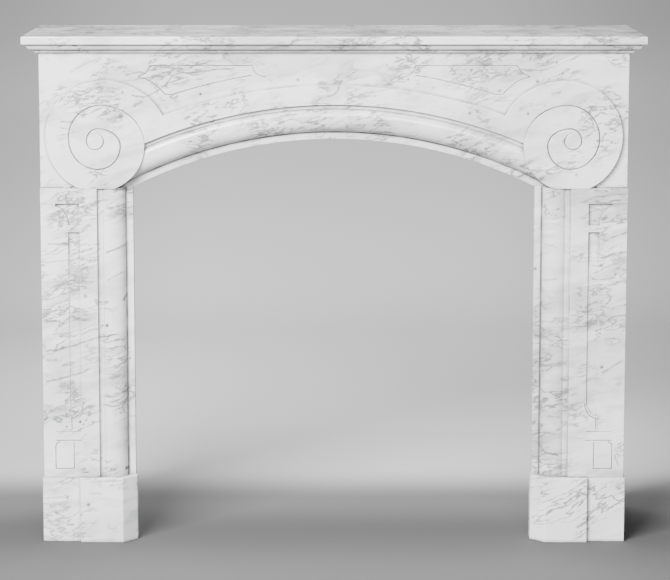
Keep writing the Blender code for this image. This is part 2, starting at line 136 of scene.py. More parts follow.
# Dark veins in the stone: width, strength and the (x, z) points that each runs through.
# Dark spots: x, z, width and strength of each.
LINTEL_VEINS = (
    (0.0030, 0.45, ((-0.428, 0.985), (-0.415, 0.989), (-0.402, 0.991), (-0.388, 0.989))),
    (0.0030, 0.60, ((-0.38, 1.004), (-0.345, 1.003), (-0.332, 1.008),
                    (-0.293, 1.004), (-0.267, 1.009), (-0.237, 1.004))),
    (0.0030, 0.60, ((-0.334, 0.984), (-0.318, 0.99), (-0.293, 0.991),
                    (-0.264, 0.993), (-0.246, 0.997), (-0.207, 0.999))),
    (0.0024, 0.50, ((-0.334, 0.984), (-0.341, 0.972), (-0.35, 0.963),
                    (-0.366, 0.95), (-0.391, 0.941), (-0.415, 0.944))),
    (0.0022, 0.35, ((-0.445, 0.973), (-0.427, 0.974), (-0.4, 0.977), (-0.355, 0.983))),
    (0.0045, 0.30, ((-0.542, 0.993), (-0.513, 1.008), (-0.48, 1.02))),
    (0.0022, 0.40, ((-0.269, 1.01), (-0.253, 1.014), (-0.23, 1.015))),
    (0.0045, 0.45, ((-0.411, 0.923), (-0.395, 0.932))),
    (0.0030, 0.35, ((0.332, 0.932), (0.363, 0.932))),
    (0.0040, 0.35, ((0.448, 0.948), (0.466, 0.951))),
    (0.0050, 0.75, ((0.306, 1.006), (0.323, 1.008))),
    (0.0035, 0.50, ((0.11, 0.965), (0.118, 0.966))),
    (0.0040, 0.40, ((0.473, 0.848), (0.477, 0.856))),
    (0.0040, 0.35, ((0.525, 0.91), (0.533, 0.887))),
)
LINTEL_SPOTS = (
    (-0.439, 0.9, 0.0081, 0.78), (-0.435, 0.951, 0.0054, 0.65), (-0.075, 0.975, 0.0054, 0.65),
    (0.296, 0.912, 0.0054, 0.65), (0.4, 0.907, 0.0054, 0.65), (-0.275, 0.947, 0.0057, 0.85),
    (-0.258, 0.966, 0.0054, 0.52), (0.458, 1.012, 0.0054, 0.52), (0.315, 0.951, 0.0054, 0.52),
    (0.5, 0.779, 0.0054, 0.52), (0.419, 0.973, 0.0057, 0.65), (0.341, 0.952, 0.0057, 0.65),
    (0.386, 0.989, 0.0068, 0.52), (0.279, 0.907, 0.0049, 0.59), (0.403, 1.017, 0.0047, 0.45),
    (0.206, 0.959, 0.0041, 0.45),
)
JAMB_LEFT_VEINS = (
    (0.0032, 0.50, ((-0.599, 0.409), (-0.573, 0.412), (-0.548, 0.419),
                    (-0.524, 0.427), (-0.494, 0.437), (-0.465, 0.441))),
    (0.0026, 0.30, ((-0.599, 0.596), (-0.551, 0.601), (-0.526, 0.606), (-0.489, 0.608))),
    (0.0034, 0.50, ((-0.472, 0.617), (-0.43, 0.632))),
    (0.0030, 0.35, ((-0.47, 0.559), (-0.438, 0.575))),
    (0.0030, 0.35, ((-0.58, 0.495), (-0.551, 0.51))),
    (0.0040, 0.50, ((-0.59, 0.471), (-0.578, 0.473))),
    (0.0030, 0.35, ((-0.585, 0.444), (-0.553, 0.447))),
    (0.0030, 0.40, ((-0.526, 0.444), (-0.507, 0.454), (-0.484, 0.457))),
    (0.0040, 0.60, ((-0.438, 0.515), (-0.433, 0.525))),
    (0.0036, 0.40, ((-0.592, 0.635), (-0.553, 0.635))),
    (0.0040, 0.50, ((-0.599, 0.389), (-0.58, 0.39))),
    (0.0034, 0.50, ((-0.455, 0.373), (-0.427, 0.39))),
    (0.0034, 0.50, ((-0.6, 0.344), (-0.575, 0.349), (-0.526, 0.363), (-0.511, 0.371))),
    (0.0090, 0.40, ((-0.569, 0.334), (-0.548, 0.342))),
    (0.0110, 0.28, ((-0.6, 0.285), (-0.563, 0.286))),
    (0.0036, 0.50, ((-0.481, 0.312), (-0.46, 0.311), (-0.428, 0.325))),
    (0.0036, 0.50, ((-0.481, 0.294), (-0.46, 0.29), (-0.438, 0.298))),
)
JAMB_LEFT_SPOTS = (
    (-0.552, 0.703, 0.0054, 0.65), (-0.483, 0.462, 0.0054, 0.65), (-0.57, 0.693, 0.0049, 0.52),
    (-0.473, 0.462, 0.0061, 0.91), (-0.517, 0.525, 0.0061, 0.52), (-0.532, 0.259, 0.0054, 0.78),
    (-0.525, 0.252, 0.0046, 0.52), (-0.436, 0.155, 0.0068, 0.91),
)
JAMB_RIGHT_VEINS = (
    (0.0050, 0.50, ((0.556, 0.605), (0.579, 0.613), (0.604, 0.617))),
    (0.0030, 0.35, ((0.437, 0.633), (0.462, 0.628))),
    (0.0030, 0.30, ((0.437, 0.557), (0.462, 0.562))),
    (0.0036, 0.60, ((0.432, 0.206), (0.443, 0.191), (0.47, 0.186))),
    (0.0040, 0.40, ((0.561, 0.363), (0.602, 0.388))),
    (0.0030, 0.35, ((0.495, 0.484), (0.52, 0.491))),
    (0.0032, 0.40, ((0.589, 0.186), (0.597, 0.166))),
)
JAMB_RIGHT_SPOTS = (
    (0.559, 0.375, 0.0054, 0.65), (0.42, 0.579, 0.0054, 0.65),
)
PLINTH_LEFT_VEINS = (
    (0.0040, 0.35, ((-0.511, 0.106), (-0.489, 0.106))),
    (0.0045, 0.50, ((-0.56, 0.037), (-0.551, 0.037))),
    (0.0035, 0.40, ((-0.595, 0.023), (-0.589, 0.024))),
)
PLINTH_LEFT_SPOTS = (
    (-0.515, 0.082, 0.0064, 0.70), (-0.561, 0.096, 0.0054, 0.65), (-0.584, 0.062, 0.0059, 0.78),
    (-0.532, 0.059, 0.0054, 0.52),
)

# Backdrop: how far it reaches, where it curves up, and its tone at places along it (y + z), which is painted
# shade and light: a dark band just behind the feet and dimming towards the top
BACKDROP_REACH = 7.0
CURVE_Y = 2.2
CURVE_RADIUS = 1.2
CURVE_STEPS = 18
WALL_HEIGHT = 6.0
BACKDROP_PAINTED_SHADING = ((-0.8, 0.17), (-0.42, 0.145), (-0.05, 0.085), (0.20, 0.155), (0.50, 0.61), (1.10, 0.58),
                  (2.50, 0.53), (3.80, 0.335), (4.30, 0.235), (4.90, 0.135), (6.0, 0.135))
PAINTED_FALLOFF_FROM, PAINTED_FALLOFF_TO, PAINTED_FALLOFF_SHARE = 0.40, 1.30, 0.68  # painted falloff of light away from the middle
PAPER_ROUGHNESS = 0.9

# Lights: where each stands, what it faces, its width and height, and its power in watts
LIGHTS = {
    "key_light": ((-2.1, -3.75, 3.0), (0.05, 0.0, 0.6), 2.8, 1.6, 960.0),
    "fill_light": ((0.8, -5.2, 2.2), (0.15, 0.0, 0.5), 1.8, 1.6, 225.0),
    "crest_light": ((0.0, -0.9, 2.6), (0.0, -0.15, 0.9), 0.8, 0.12, 14.0),
    "backdrop_light": ((-0.3, 1.3, 2.7), (-0.1, 2.9, 0.3), 1.6, 0.8, 130.0),
}
AIR_STRENGTH = 0.20
CAMERA_LENS = 133.8  # millimetres
CAMERA_PITCH = 0.1368  # radians below level
CAMERA_SHIFT = (0.0149, -0.14)

# Noises in the stone: scale, detail and roughness. A pair adds the levels between which the noise
# turns from nothing to full, or else from the third figure to the fourth.
BEND_NOISE = (5.0, 3.0, 0.5)
SHAKE_NOISE = (90.0, 3.0, 0.6)
GRAIN_NOISE = (45.0, 5.0, 0.6)
HAZE = ((2.2, 3.0, 0.5), (0.40, 0.66))
CLOUD = ((9.0, 6.0, 0.62), (0.46, 0.68))
WIDE_PATCHES = ((5.0, 2.0, 0.5), (0.44, 0.62))
FINE_PATCHES = ((12.0, 2.0, 0.5), (0.46, 0.60))
GRAINS = ((42.0, 2.0, 0.5), (0.63, 0.71))
DUST_PATCHES = ((26.0, 3.0, 0.5), (0.35, 0.60, 0.60, 1.0))
RUBBING = ((14.0, 4.0, 0.5), (0.35, 0.65, -0.06, 0.08))
BREAKS = ((55.0, 3.0, 0.5), (0.30, 0.58, 0.7, 1.35))
NOISE_MIDDLE = 0.5

# Streaks in the stone: scale of the noise they are drawn from, and their width in it
SMEARS = (5.0, 0.12)
WIDE_VEINS = (8.0, 0.030)
FINE_VEINS = (18.0, 0.045)
STREAK_DETAIL, STREAK_ROUGHNESS = 5.0, 0.55

BEND = (0.07, 0.07, 0.07)
DRAWN_OUT = (1.0, 1.0, 3.6)
HAZE_SHARE = 0.45  # share of the haze in the clouds
SMEAR_DEPTH = 0.50
VEIN_DEPTH = 0.78
VEIN_CORE, VEIN_EDGE = 0.20, 0.95  # where a dark vein starts to fade and ends, in its widths
VEIN_SHAKE = (0.007, 0.0, 0.007)
SHADE_AND_DUST_LEVELS = (0.50, 0.97, 1.0, 0.0)  # from how open a place is to its painted recess shade, with grey grime
HIGHLIGHT_AND_WEAR_LEVELS = (0.80, 0.99, 1.0, 0.0)  # from how flat a place is to its painted highlight and rubbing
WEAR_SAMPLES = 6
DUST_ROUGHNESS = 0.4
GRAIN_STRENGTH = 0.35

# How each block was sawn: the turn of its cut in degrees and its place in the stone, then the strength
# of its clouds, veins and smears, and its own dark veins and spots
BLOCKS = {
    "shelf": (6, (3.1, 0.7, 1.9), 0.90, 1.00, 0.70, (), ()),
    "lintel": (14, (0.4, 2.2, 5.3), 0.85, 1.00, 0.50, LINTEL_VEINS, LINTEL_SPOTS),
    "jamb_left": (18, (7.7, 1.3, 0.2), 0.80, 1.00, 0.55, JAMB_LEFT_VEINS, JAMB_LEFT_SPOTS),
    "jamb_right": (12, (1.9, 4.4, 8.1), 0.85, 0.95, 0.55, JAMB_RIGHT_VEINS, JAMB_RIGHT_SPOTS),
    "plinth_left": (10, (5.2, 6.1, 2.7), 0.95, 0.80, 0.45, PLINTH_LEFT_VEINS, PLINTH_LEFT_SPOTS),
    "plinth_right": (24, (9.3, 3.8, 4.6), 0.30, 1.00, 0.45, (), ()),
    "return_left": (16, (2.6, 8.5, 6.4), 0.60, 0.70, 0.35, (), ()),
    "return_right": (-14, (6.6, 5.1, 9.9), 0.60, 0.70, 0.35, (), ()),
    "plinth_return_left": (12, (8.8, 2.9, 7.3), 0.70, 0.60, 0.40, (), ()),
    "plinth_return_right": (20, (4.1, 9.4, 3.5), 0.70, 0.60, 0.40, (), ()),
}


def length(name, default, description):
    return bpy.props.FloatProperty(name=name, description=description, default=default,
                                   unit="LENGTH", subtype="DISTANCE", precision=4)


def count(name, default, description):
    return bpy.props.IntProperty(name=name, description=description, default=default, min=1)


def share(name, default, description):
    return bpy.props.FloatProperty(name=name, description=description, default=default,
                                   min=0.0, max=1.0, subtype="FACTOR")


def colour(name, default, description):
    return bpy.props.FloatVectorProperty(name=name, description=description, default=default,
                                         size=3, min=0.0, max=1.0, subtype="COLOR")


class MantelShelfSizes(bpy.types.PropertyGroup):
    fillet_height: length("Fillet height", 0.0055, "Height of the fillet under the ovolo")
    fillet_inset: length("Fillet inset", 0.0245, "How far the fillet lies inside the shelf's edge")
    ovolo_height: length("Ovolo height", 0.0115, "Height of the ovolo")
    ovolo_foot_inset: length("Ovolo foot", 0.0185, "Inset of the ovolo at its foot")
    ovolo_head_inset: length("Ovolo head", 0.0095, "Inset of the ovolo at its head")
    arris: length("Arris", 0.0028, "Rounding of the band's two arrises")
    curve_steps: count("Steps", 12, "Steps in the ovolo and in each arris")


class MantelMouldingSizes(bpy.types.PropertyGroup):
    inner_fillet_width: length("Inner fillet", 0.0135, "Width of the fillet beside the opening")
    inner_fillet_setback: length("Inner setback", 0.027, "Setback of the fillet beside the opening")
    quirk_width: length("Quirk", 0.0025, "Width of the quirk beside the inner fillet")
    quirk_depth: length("Quirk depth", 0.004, "Depth of the quirk")
    roll_inner_width: length("Roll, inner part", 0.031, "Width of the roll from the quirk to its crown")
    roll_outer_width: length("Roll, outer part", 0.0165, "Width of the roll from its crown outwards")
    crown_setback: length("Crown setback", 0.003, "Setback of the roll's crown")
    outer_fall: length("Outer fall", 0.008, "How far the roll falls back from its crown outwards")
    outer_quirk_width: length("Outer quirk", 0.0015, "Width of the quirk beside the outer fillet")
    outer_fillet_width: length("Outer fillet", 0.0085, "Width of the outer fillet")
    outer_fillet_setback: length("Outer setback", 0.0078, "Setback of the outer fillet")
    roll_steps: count("Roll steps", 20, "Steps in each part of the roll")
    arch_steps: count("Arch steps", 120, "Steps round the arch")


class MantelReliefSizes(bpy.types.PropertyGroup):
    arris: length("Arris", 0.0011, "Rounding of the carved arrises")
    block_arris: length("Block arris", 0.0016, "Rounding of the plinths' and slabs' arrises")
    line_width: length("Line width", 0.0026, "Width of the incised lines")
    line_depth: length("Line depth", 0.0026, "Depth of the incised lines")
    lintel_setback: length("Lintel field", 0.010, "Setback of the lintel's field")
    band_width: length("Band width", 0.0395, "Width of the raised band over the arch")
    eye_out: length("Eye, out", 0.0725, "Distance of a volute's eye from the opening")
    eye_up: length("Eye, up", 0.0925, "Height of a volute's eye over the lintel's foot")
    spiral_step: length("Spiral step", 0.0014, "Rise of each turn of a volute over the last")
    spiral_groove: length("Spiral groove", 0.0026, "Width of the groove along the spiral")
    spiral_depth: length("Spiral depth", 0.0022, "Depth of the groove along the spiral")


class MantelPanelSizes(bpy.types.PropertyGroup):
    head_margin: length("Head margin", 0.0277, "Distance of a frieze panel from the lintel's head")
    arch_margin: length("Arch margin", 0.034, "Distance of a frieze panel from the raised band")
    inner_x: length("Inner end", 0.168, "Distance of a panel's inner corner from the middle")
    curl_out: length("Curl, out", 0.0295, "How far the curl runs in from the inner corner")
    curl_drop: length("Curl, drop", 0.0239, "How far the curl drops below the inner corner")
    outer_x: length("Outer end", 0.3763, "Distance of a panel's outer corner from the middle")
    heel_x: length("Heel", 0.332, "Distance of a panel's lowest point from the middle")


class MantelJambSizes(bpy.types.PropertyGroup):
    strip_width: length("Strip", 0.0365, "Width of the flat strip beside the moulding")
    channel_width: length("Channel", 0.0235, "Width of the channel beside the strip")
    channel_setback: length("Channel setback", 0.0036, "Setback of the channel's shallow part")
    recess_setback: length("Recess setback", 0.0065, "Setback of the recess at the jamb's head")
    recess_width: length("Recess", 0.0492, "Width of the recess along its top")
    recess_depth: length("Recess foot", 0.124, "Distance from the head to where the recess grows shallow")
    channel_start: length("Channel start", 0.176, "Distance from the head to where the channel is level")
    head_height: length("Head", 0.0318, "Height of the plain head of a jamb")
    field_setback: length("Field setback", 0.0016, "Setback of the outer field")
    crest_drop: length("Crest", 0.0309, "Distance of the field's crest from the head")
    crest_x: length("Crest, out", 0.6038, "Distance of the field's crest from the middle")
    shoulder_drop: length("Shoulder", 0.073, "Distance of the field's shoulder from the head")
    tab_drop: length("Tab", 0.0774, "Distance of the tab from the head")
    tab_height: length("Tab height", 0.0142, "Height of the tab across the channel")
    tab_reach: length("Tab reach", 0.009, "How far the tab reaches over the field")
    tab_setback: length("Tab setback", 0.0002, "Setback of the tab")
    sweep_high: length("Sweep, high", 0.1624, "Height over the foot where the channel starts to close")
    sweep_low: length("Sweep, low", 0.1300, "Height over the foot where the channel is closed")
    sweep_inset: length("Sweep line", 0.0030, "Distance of the line beside the sweep from its edge")
    bar_head: length("Bar head", 0.1005, "Height of the bar's head over the foot")
    bar_foot: length("Bar foot", 0.0791, "Height of the bar's foot over the foot")
    bar_reach: length("Bar reach", 0.0555, "How far the bar and the box reach from the strip")
    box_start: length("Box start", 0.0171, "How far the box starts from the strip")
    bar_line_drop: length("Bar line", 0.0024, "How far the bar's upper line lies below its head")
    box_drop: length("Box drop", 0.0032, "Distance of the box from the bar over it")
    box_foot: length("Box foot", 0.0187, "Height of the box over the foot")
    box_corner: length("Box corner", 0.010, "Rounding of the box's upper outer corner")


class MantelPlinthSizes(bpy.types.PropertyGroup):
    chamfer: length("Chamfer", 0.029, "Chamfer of the corner beside the opening")
    face_width: length("Face", 0.089, "Width of the raised front face")
    step: length("Step", 0.009, "How far the outer part stands back")
    side_arris: length("Side slab arris", 0.001, "Rounding of the plain side slabs' arrises")


class MantelMarble(bpy.types.PropertyGroup):
    ground: colour("Ground", (0.70, 0.70, 0.702), "Colour of the clean stone")
    cloud: colour("Cloud", (0.34, 0.343, 0.352), "Colour of the cloudy patches")
    vein: colour("Vein", (0.075, 0.077, 0.082), "Colour of the veins")
    # Painted shade with grime: the dark colour below is laid into the recesses, at the share and over the
    # recess reach set below.
    recess_shade_and_dirt: colour("Shade and grime", (0.14, 0.135, 0.13), "Colour of the dust in the recesses")
    # Painted highlight with rubbing: the white colour below is laid along the arrises, at the share and over
    # the arris reach set below.
    edge: colour("Highlight and rubbing", (1.0, 1.0, 1.0), "Colour of the worn arrises")
    recess_shade_and_dirt_share: share("Dirt share", 0.85, "Strength of the dust in the recesses")
    highlight_and_wear_share: share("Edge share", 0.85, "Strength of the wear along the arrises")
    roughness: share("Roughness", 0.20, "Roughness of the polished face")
    recess_reach: length("Recess reach", 0.009, "Distance over which dust gathers in a recess")
    arris_reach: length("Arris reach", 0.0024, "Distance over which an arris is worn")
    grain_height: length("Grain", 0.0004, "Height of the worn, hand-rubbed surface")


class MantelStudio(bpy.types.PropertyGroup):
    floor: colour("Floor", (0.72, 0.72, 0.722), "Colour of the floor and backdrop")
    camera_distance: length("Camera distance", 5.25, "Distance of the camera in front of the shelf's middle")
    camera_height: length("Camera height", 1.4375, "Height of the camera over the floor")
    camera_offset: length("Camera offset", -0.0186, "How far the camera stands to the right of the middle")


def quarter_ellipse(start, end, upright_first, turn):
    """Point at a share of the quarter ellipse between two turning points."""
    centre = (end[0], start[1]) if upright_first else (start[0], end[1])
    from_start = math.cos(math.pi / 2 * turn)
    from_end = math.sin(math.pi / 2 * turn)
    return tuple(centre[axis] + (start[axis] - centre[axis]) * from_start
                 + (end[axis] - centre[axis]) * from_end for axis in (0, 1))


def quarter_points(start, end, upright_first, steps):
    """Points along the quarter ellipse between two turning points, both of them included."""
    return [quarter_ellipse(start, end, upright_first, step / steps) for step in range(steps + 1)]


def arc(centre, radius, start, end, steps):
    """Points on a circle; the angles turn from +x towards the second axis."""
    angles = [start + (end - start) * index / steps for index in range(steps + 1)]
    return [(centre[0] + radius * math.cos(angle), centre[1] + radius * math.sin(angle))
            for angle in angles]


def arch_arc(radius, start_x, end_x, steps):
    return arc((0.0, ARCH_CENTRE_Z), radius, math.acos(start_x / radius), math.acos(end_x / radius), steps)


def mirrored(points):
    return [(-x, z) for x, z in reversed(points)]


def on_side(points, side):
    return [(side * x, z) for x, z in points]


def raise_plate(build, outline, front_y, back_y, arris, eased=None):
    """Raise an outline of (x, z) points from back_y to front_y and ease its front rim.

    eased tells from the middle of a front edge whether that edge is eased."""
    face = build.faces.new([build.verts.new((x, back_y, z)) for x, z in outline])
    raised = bmesh.ops.extrude_face_region(build, geom=[face])["geom"]
    front = [item for item in raised if isinstance(item, bmesh.types.BMVert)]
    bmesh.ops.translate(build, verts=front, vec=(0.0, front_y - back_y, 0.0))
    front_face = next(item for item in raised if isinstance(item, bmesh.types.BMFace))
    rim = [edge for edge in front_face.edges
           if eased is None or eased((edge.verts[0].co + edge.verts[1].co) / 2)]
    ease(build, rim, arris)


def ease(build, edges, width):
    if edges:
        bmesh.ops.bevel(build, geom=edges, offset=width, offset_type="OFFSET", segments=EASE_SEGMENTS,
                        profile=0.5, affect="EDGES", material=-1, clamp_overlap=True)


def extruded_verts(build, verts, edges):
    """Extrude edges and give the new point that stands on each of the old ones."""
    made = bmesh.ops.extrude_edge_only(build, edges=edges)["geom"]
    fresh = {item for item in made if isinstance(item, bmesh.types.BMVert)}
    return [next(edge.other_vert(vert) for edge in vert.link_edges if edge.other_vert(vert) in fresh)
            for vert in verts]


def mitre(before, here, after):
    """Way across a path at a bend, one unit wide on both of its runs."""
    first = (here - before).normalized().orthogonal()
    second = (after - here).normalized().orthogonal()
    return (first + second) * (2 / max((first + second).length_squared, SHARPEST_MITRE))


def with_run_outs(path, run_out):
    """Add a point close to each end of a path, so that a line keeps its depth almost up to them."""
    points = [Vector(point) for point in path]
    start = points[0] + (points[1] - points[0]).normalized() * run_out
    end = points[-1] + (points[-2] - points[-1]).normalized() * run_out
    return [points[0], start, *points[1:-1], end, points[-1]]


def incise(build, path, front_y, width, depth):
    """Sink a V-shaped line along a path of (x, z) points; both of its ends run out to nothing."""
    points = with_run_outs(path, width / 2)
    bottom = [build.verts.new((x, front_y + depth, z)) for x, z in points]
    bottom[0].co.y = bottom[-1].co.y = front_y
    edges = [build.edges.new(pair) for pair in zip(bottom, bottom[1:])]
    for half in (-width / 2, width / 2):
        rim = extruded_verts(build, bottom, edges)
        for vert, before, here, after in zip(rim[1:-1], points, points[1:], points[2:]):
            edge_point = here + mitre(before, here, after) * half
            vert.co = (edge_point.x, front_y, edge_point.y)


def engrave(build, paths, front_y, width, depth):
    """Open a plate's front face, sink a line along each path and fill the face in round them."""
    flat = [face for face in build.faces
            if all(abs(vert.co.y - front_y) < SAME_PLACE for vert in face.verts)]
    front = max(flat, key=lambda face: face.calc_area())
    bmesh.ops.delete(build, geom=[front], context="FACES_ONLY")
    for path in paths:
        incise(build, path, front_y, width, depth)
    bmesh.ops.remove_doubles(build, verts=build.verts, dist=SAME_PLACE)
    rims = [edge for edge in build.edges if edge.is_boundary]
    bmesh.ops.triangle_fill(build, use_beauty=True, use_dissolve=False, edges=rims,
                            normal=(0.0, -1.0, 0.0))


def next_ring(build, ring, places):
    """Extrude a closed ring of points and move the new ring to its places."""
    around = zip(ring, ring[1:] + ring[:1])
    edges = [build.edges.get(pair) or build.edges.new(pair) for pair in around]
    following = extruded_verts(build, ring, edges)
    for vert, place in zip(following, places):
        vert.co = place
    return following


def loft(build, sections, open_start=False):
    """Join closed sections, which all have as many points, into one solid; its start may stay open."""
    ring = [build.verts.new(place) for place in sections[0]]
    if not open_start:
        build.faces.new(ring)
    for section in sections[1:]:
        ring = next_ring(build, ring, section)
    build.faces.new(ring)


def cut_off_below(build, height):
    """Cut everything below a height away and close the cut."""
    geom = build.verts[:] + build.edges[:] + build.faces[:]
    cut = bmesh.ops.bisect_plane(build, geom=geom, dist=SAME_PLACE, plane_co=(0.0, 0.0, height),
                                 plane_no=(0.0, 0.0, 1.0), clear_inner=True)
    edges = [item for item in cut["geom_cut"] if isinstance(item, bmesh.types.BMEdge)]
    bmesh.ops.holes_fill(build, edges=edges, sides=0)


def finish_piece(name, build, nodes, material):
    """Make the build an object that rides on the body and stands for CAD nodes."""
    bmesh.ops.recalc_face_normals(build, faces=build.faces)
    mesh = bpy.data.meshes.new(name)
    build.to_mesh(mesh)
    build.free()
    mesh.shade_smooth()
    mesh.set_sharp_from_angle(angle=SHARP_ANGLE)
    mesh.materials.append(material)
    piece = bpy.data.objects.new(name, mesh)
    bpy.context.scene.collection.objects.link(piece)
    weighted = piece.modifiers.new("flat faces stay flat", "WEIGHTED_NORMAL")
    weighted.keep_sharp = True
    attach(piece, BODY)
    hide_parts(*nodes)
    return piece


def spiral_point(eye, turn):
    """Point of the right-hand spiral; whole numbers are its turning points."""
    index = min(int(turn), SPIRAL_END - 1)
    first, second = SPIRAL_TURNING_POINTS[index:index + 2]
    out, up = quarter_ellipse(first, second, index % 2 == 0, turn - index)
    return eye[0] + out, eye[1] + up


def spiral_crossing(eye, radius, search):
    """Turn at which the spiral crosses a circle of the arch, found by halving a search's range."""
    inside, outside = search
    for _ in range(HALVINGS):
        middle = (inside + outside) / 2
        x, z = spiral_point(eye, middle)
        if math.hypot(x, z - ARCH_CENTRE_Z) < radius:
            inside = middle
        else:
            outside = middle
    return middle


def moulding_points(sizes):
    """Section of the roll moulding as (out from the opening, setback) points, and its arrises."""
    back = SLAB_BACK_Y - FRONT_Y - LAP
    roll_start = sizes.inner_fillet_width + sizes.quirk_width
    crown_out = roll_start + sizes.roll_inner_width
    roll_end = crown_out + sizes.roll_outer_width
    fillet_start = roll_end + sizes.outer_quirk_width
    width = fillet_start + sizes.outer_fillet_width
    start = (roll_start, sizes.inner_fillet_setback)
    crown = (crown_out, sizes.crown_setback)
    end = (roll_end, sizes.crown_setback + sizes.outer_fall)
    arrises = [(0.0, sizes.inner_fillet_setback), (sizes.inner_fillet_width, sizes.inner_fillet_setback),
               (fillet_start, sizes.outer_fillet_setback), (width, sizes.outer_fillet_setback)]
    points = [(0.0, back), arrises[0], arrises[1],
              (sizes.inner_fillet_width, sizes.inner_fillet_setback + sizes.quirk_depth),
              (roll_start, sizes.inner_fillet_setback + sizes.quirk_depth)]
    points += quarter_points(start, crown, True, sizes.roll_steps)[:-1]
    points += quarter_points(crown, end, False, sizes.roll_steps)
    points += [(fillet_start, end[1]), arrises[2], arrises[3], (width, back)]
    return points, arrises


def moulding_width(sizes):
    return moulding_points(sizes)[1][-1][0]


def moulding_face(build, sizes, arris, place):
    """Make the moulding's section as one face with eased arrises; place sets each of its points."""
    points, arrises = moulding_points(sizes)
    verts = {point: build.verts.new(place(*point)) for point in points}
    build.faces.new(list(verts.values()))
    bmesh.ops.bevel(build, geom=[verts[point] for point in arrises], offset=arris, offset_type="OFFSET",
                    segments=EASE_SEGMENTS, profile=0.5, affect="VERTICES", material=-1, clamp_overlap=True)
    return build.faces[:]


def add_arch_moulding(build, sizes, arris):
    """Turn the roll moulding about the arch's centre, past both of its feet."""
    outer_radius = ARCH_RADIUS + moulding_width(sizes)
    reach = math.acos((lintel_low.z - ARCH_CENTRE_Z) / outer_radius) + PAST_FOOT
    part = bmesh.new()
    faces = moulding_face(part, sizes, arris, lambda out, setback: (
        -(ARCH_RADIUS + out) * math.sin(reach), FRONT_Y + setback,
        ARCH_CENTRE_Z + (ARCH_RADIUS + out) * math.cos(reach)))
    bmesh.ops.spin(part, geom=faces, cent=(0.0, 0.0, ARCH_CENTRE_Z), axis=(0.0, 1.0, 0.0),
                   angle=2 * reach, steps=sizes.arch_steps)
    cut_off_below(part, lintel_low.z)
    join_build(build, part)


def join_build(build, part):
    """Add another build to this one."""
    mesh = bpy.data.meshes.new("part")
    part.to_mesh(mesh)
    part.free()
    build.from_mesh(mesh)
    bpy.data.meshes.remove(mesh)


def ribbon_section(outer, inner, height, groove, depth, arris, back_y, side):
    """Section of the band or of a volute's turn, from its outer line to its inner one."""
    outer, inner = Vector(outer), Vector(inner)
    across = inner - outer
    width = across.length
    across.normalize()
    groove = min(groove, width * GROOVE_LIMIT)
    arris = min(arris, width * ARRIS_LIMIT)
    face_y = FRONT_Y - height
    soft = arris * (1 - math.cos(math.pi / 4))
    places = [
        (0.0, back_y),
        (0.0, face_y + arris),
        (soft, face_y + soft),
        (arris, face_y),
        (width - groove - arris, face_y),
        (width - groove - soft, face_y + soft),
        (width - groove, face_y + arris),
        (width - groove * GROOVE_FLOOR, face_y + arris + depth),
        (width, face_y + arris + depth),
        (width, back_y),
    ]
    return [(side * (outer.x + across.x * along), y, outer.y + across.y * along) for along, y in places]


def volute_sections(eye, head_turn, disc_turn, relief, back_y, side):
    """Sections of the spiral from where it leaves the band in to the eye."""
    lag = head_turn + TURNS_ROUND - disc_turn
    steps = int((SPIRAL_END - head_turn) * STEPS_A_TURN)
    sections = []
    for index in range(1, steps):
        turn = head_turn + (SPIRAL_END - head_turn) * index / steps
        since = turn - head_turn
        left = SPIRAL_END - turn
        inner_turn = min(turn + TURNS_ROUND - lag * max(0.0, 1.0 - since), SPIRAL_END)
        opened = max(0.0, min(1.0, since * GROOVE_OPENS, left, SPIRAL_END - inner_turn))
        height = relief.spiral_step * since / TURNS_ROUND
        height -= relief.spiral_step * max(0.0, 1.0 - left)
        groove = max(CLOSED_GROOVE, relief.spiral_groove * opened)
        sections.append(ribbon_section(spiral_point(eye, turn), spiral_point(eye, inner_turn), height,
                                       groove, relief.spiral_depth * opened, relief.arris, back_y, side))
    return sections


def add_band_and_volute(build, moulding, relief, side, back_y):
    """Make half the band over the arch and the volute that it winds into."""
    eye = (OPENING_X + relief.eye_out, lintel_low.z + relief.eye_up)
    band_radius = ARCH_RADIUS + moulding_width(moulding)
    outer_radius = band_radius + relief.band_width
    head_turn = spiral_crossing(eye, outer_radius, HEAD_SEARCH)
    disc_turn = spiral_crossing(eye, band_radius, DISC_SEARCH)
    outer_arc = arch_arc(outer_radius, 0.0, spiral_point(eye, head_turn)[0], BAND_STEPS)
    inner_arc = arch_arc(band_radius, 0.0, spiral_point(eye, disc_turn)[0], BAND_STEPS)
    sections = [ribbon_section(outer, inner, 0.0, CLOSED_GROOVE, 0.0, relief.arris, back_y, side)
                for outer, inner in zip(outer_arc, inner_arc)]
    sections += volute_sections(eye, head_turn, disc_turn, relief, back_y, side)
    part = bmesh.new()
    loft(part, sections, open_start=True)
    cut_off_below(part, lintel_low.z)
    join_build(build, part)


def panel_line(relief, panel, band_radius):
    """Incised line round a frieze panel, from the end of its curl round to the arch line's start."""
    head_z = lintel_high.z - panel.head_margin
    curl_end = (panel.inner_x - panel.curl_out, head_z - panel.curl_drop)
    line = quarter_points(curl_end, (panel.inner_x, head_z), False, CURL_STEPS)
    line += [(panel.outer_x + out, head_z + up) for out, up in PANEL_END]
    radius = band_radius + relief.band_width + panel.arch_margin
    line += arch_arc(radius, panel.heel_x, panel.inner_x, LINE_STEPS)
    return line


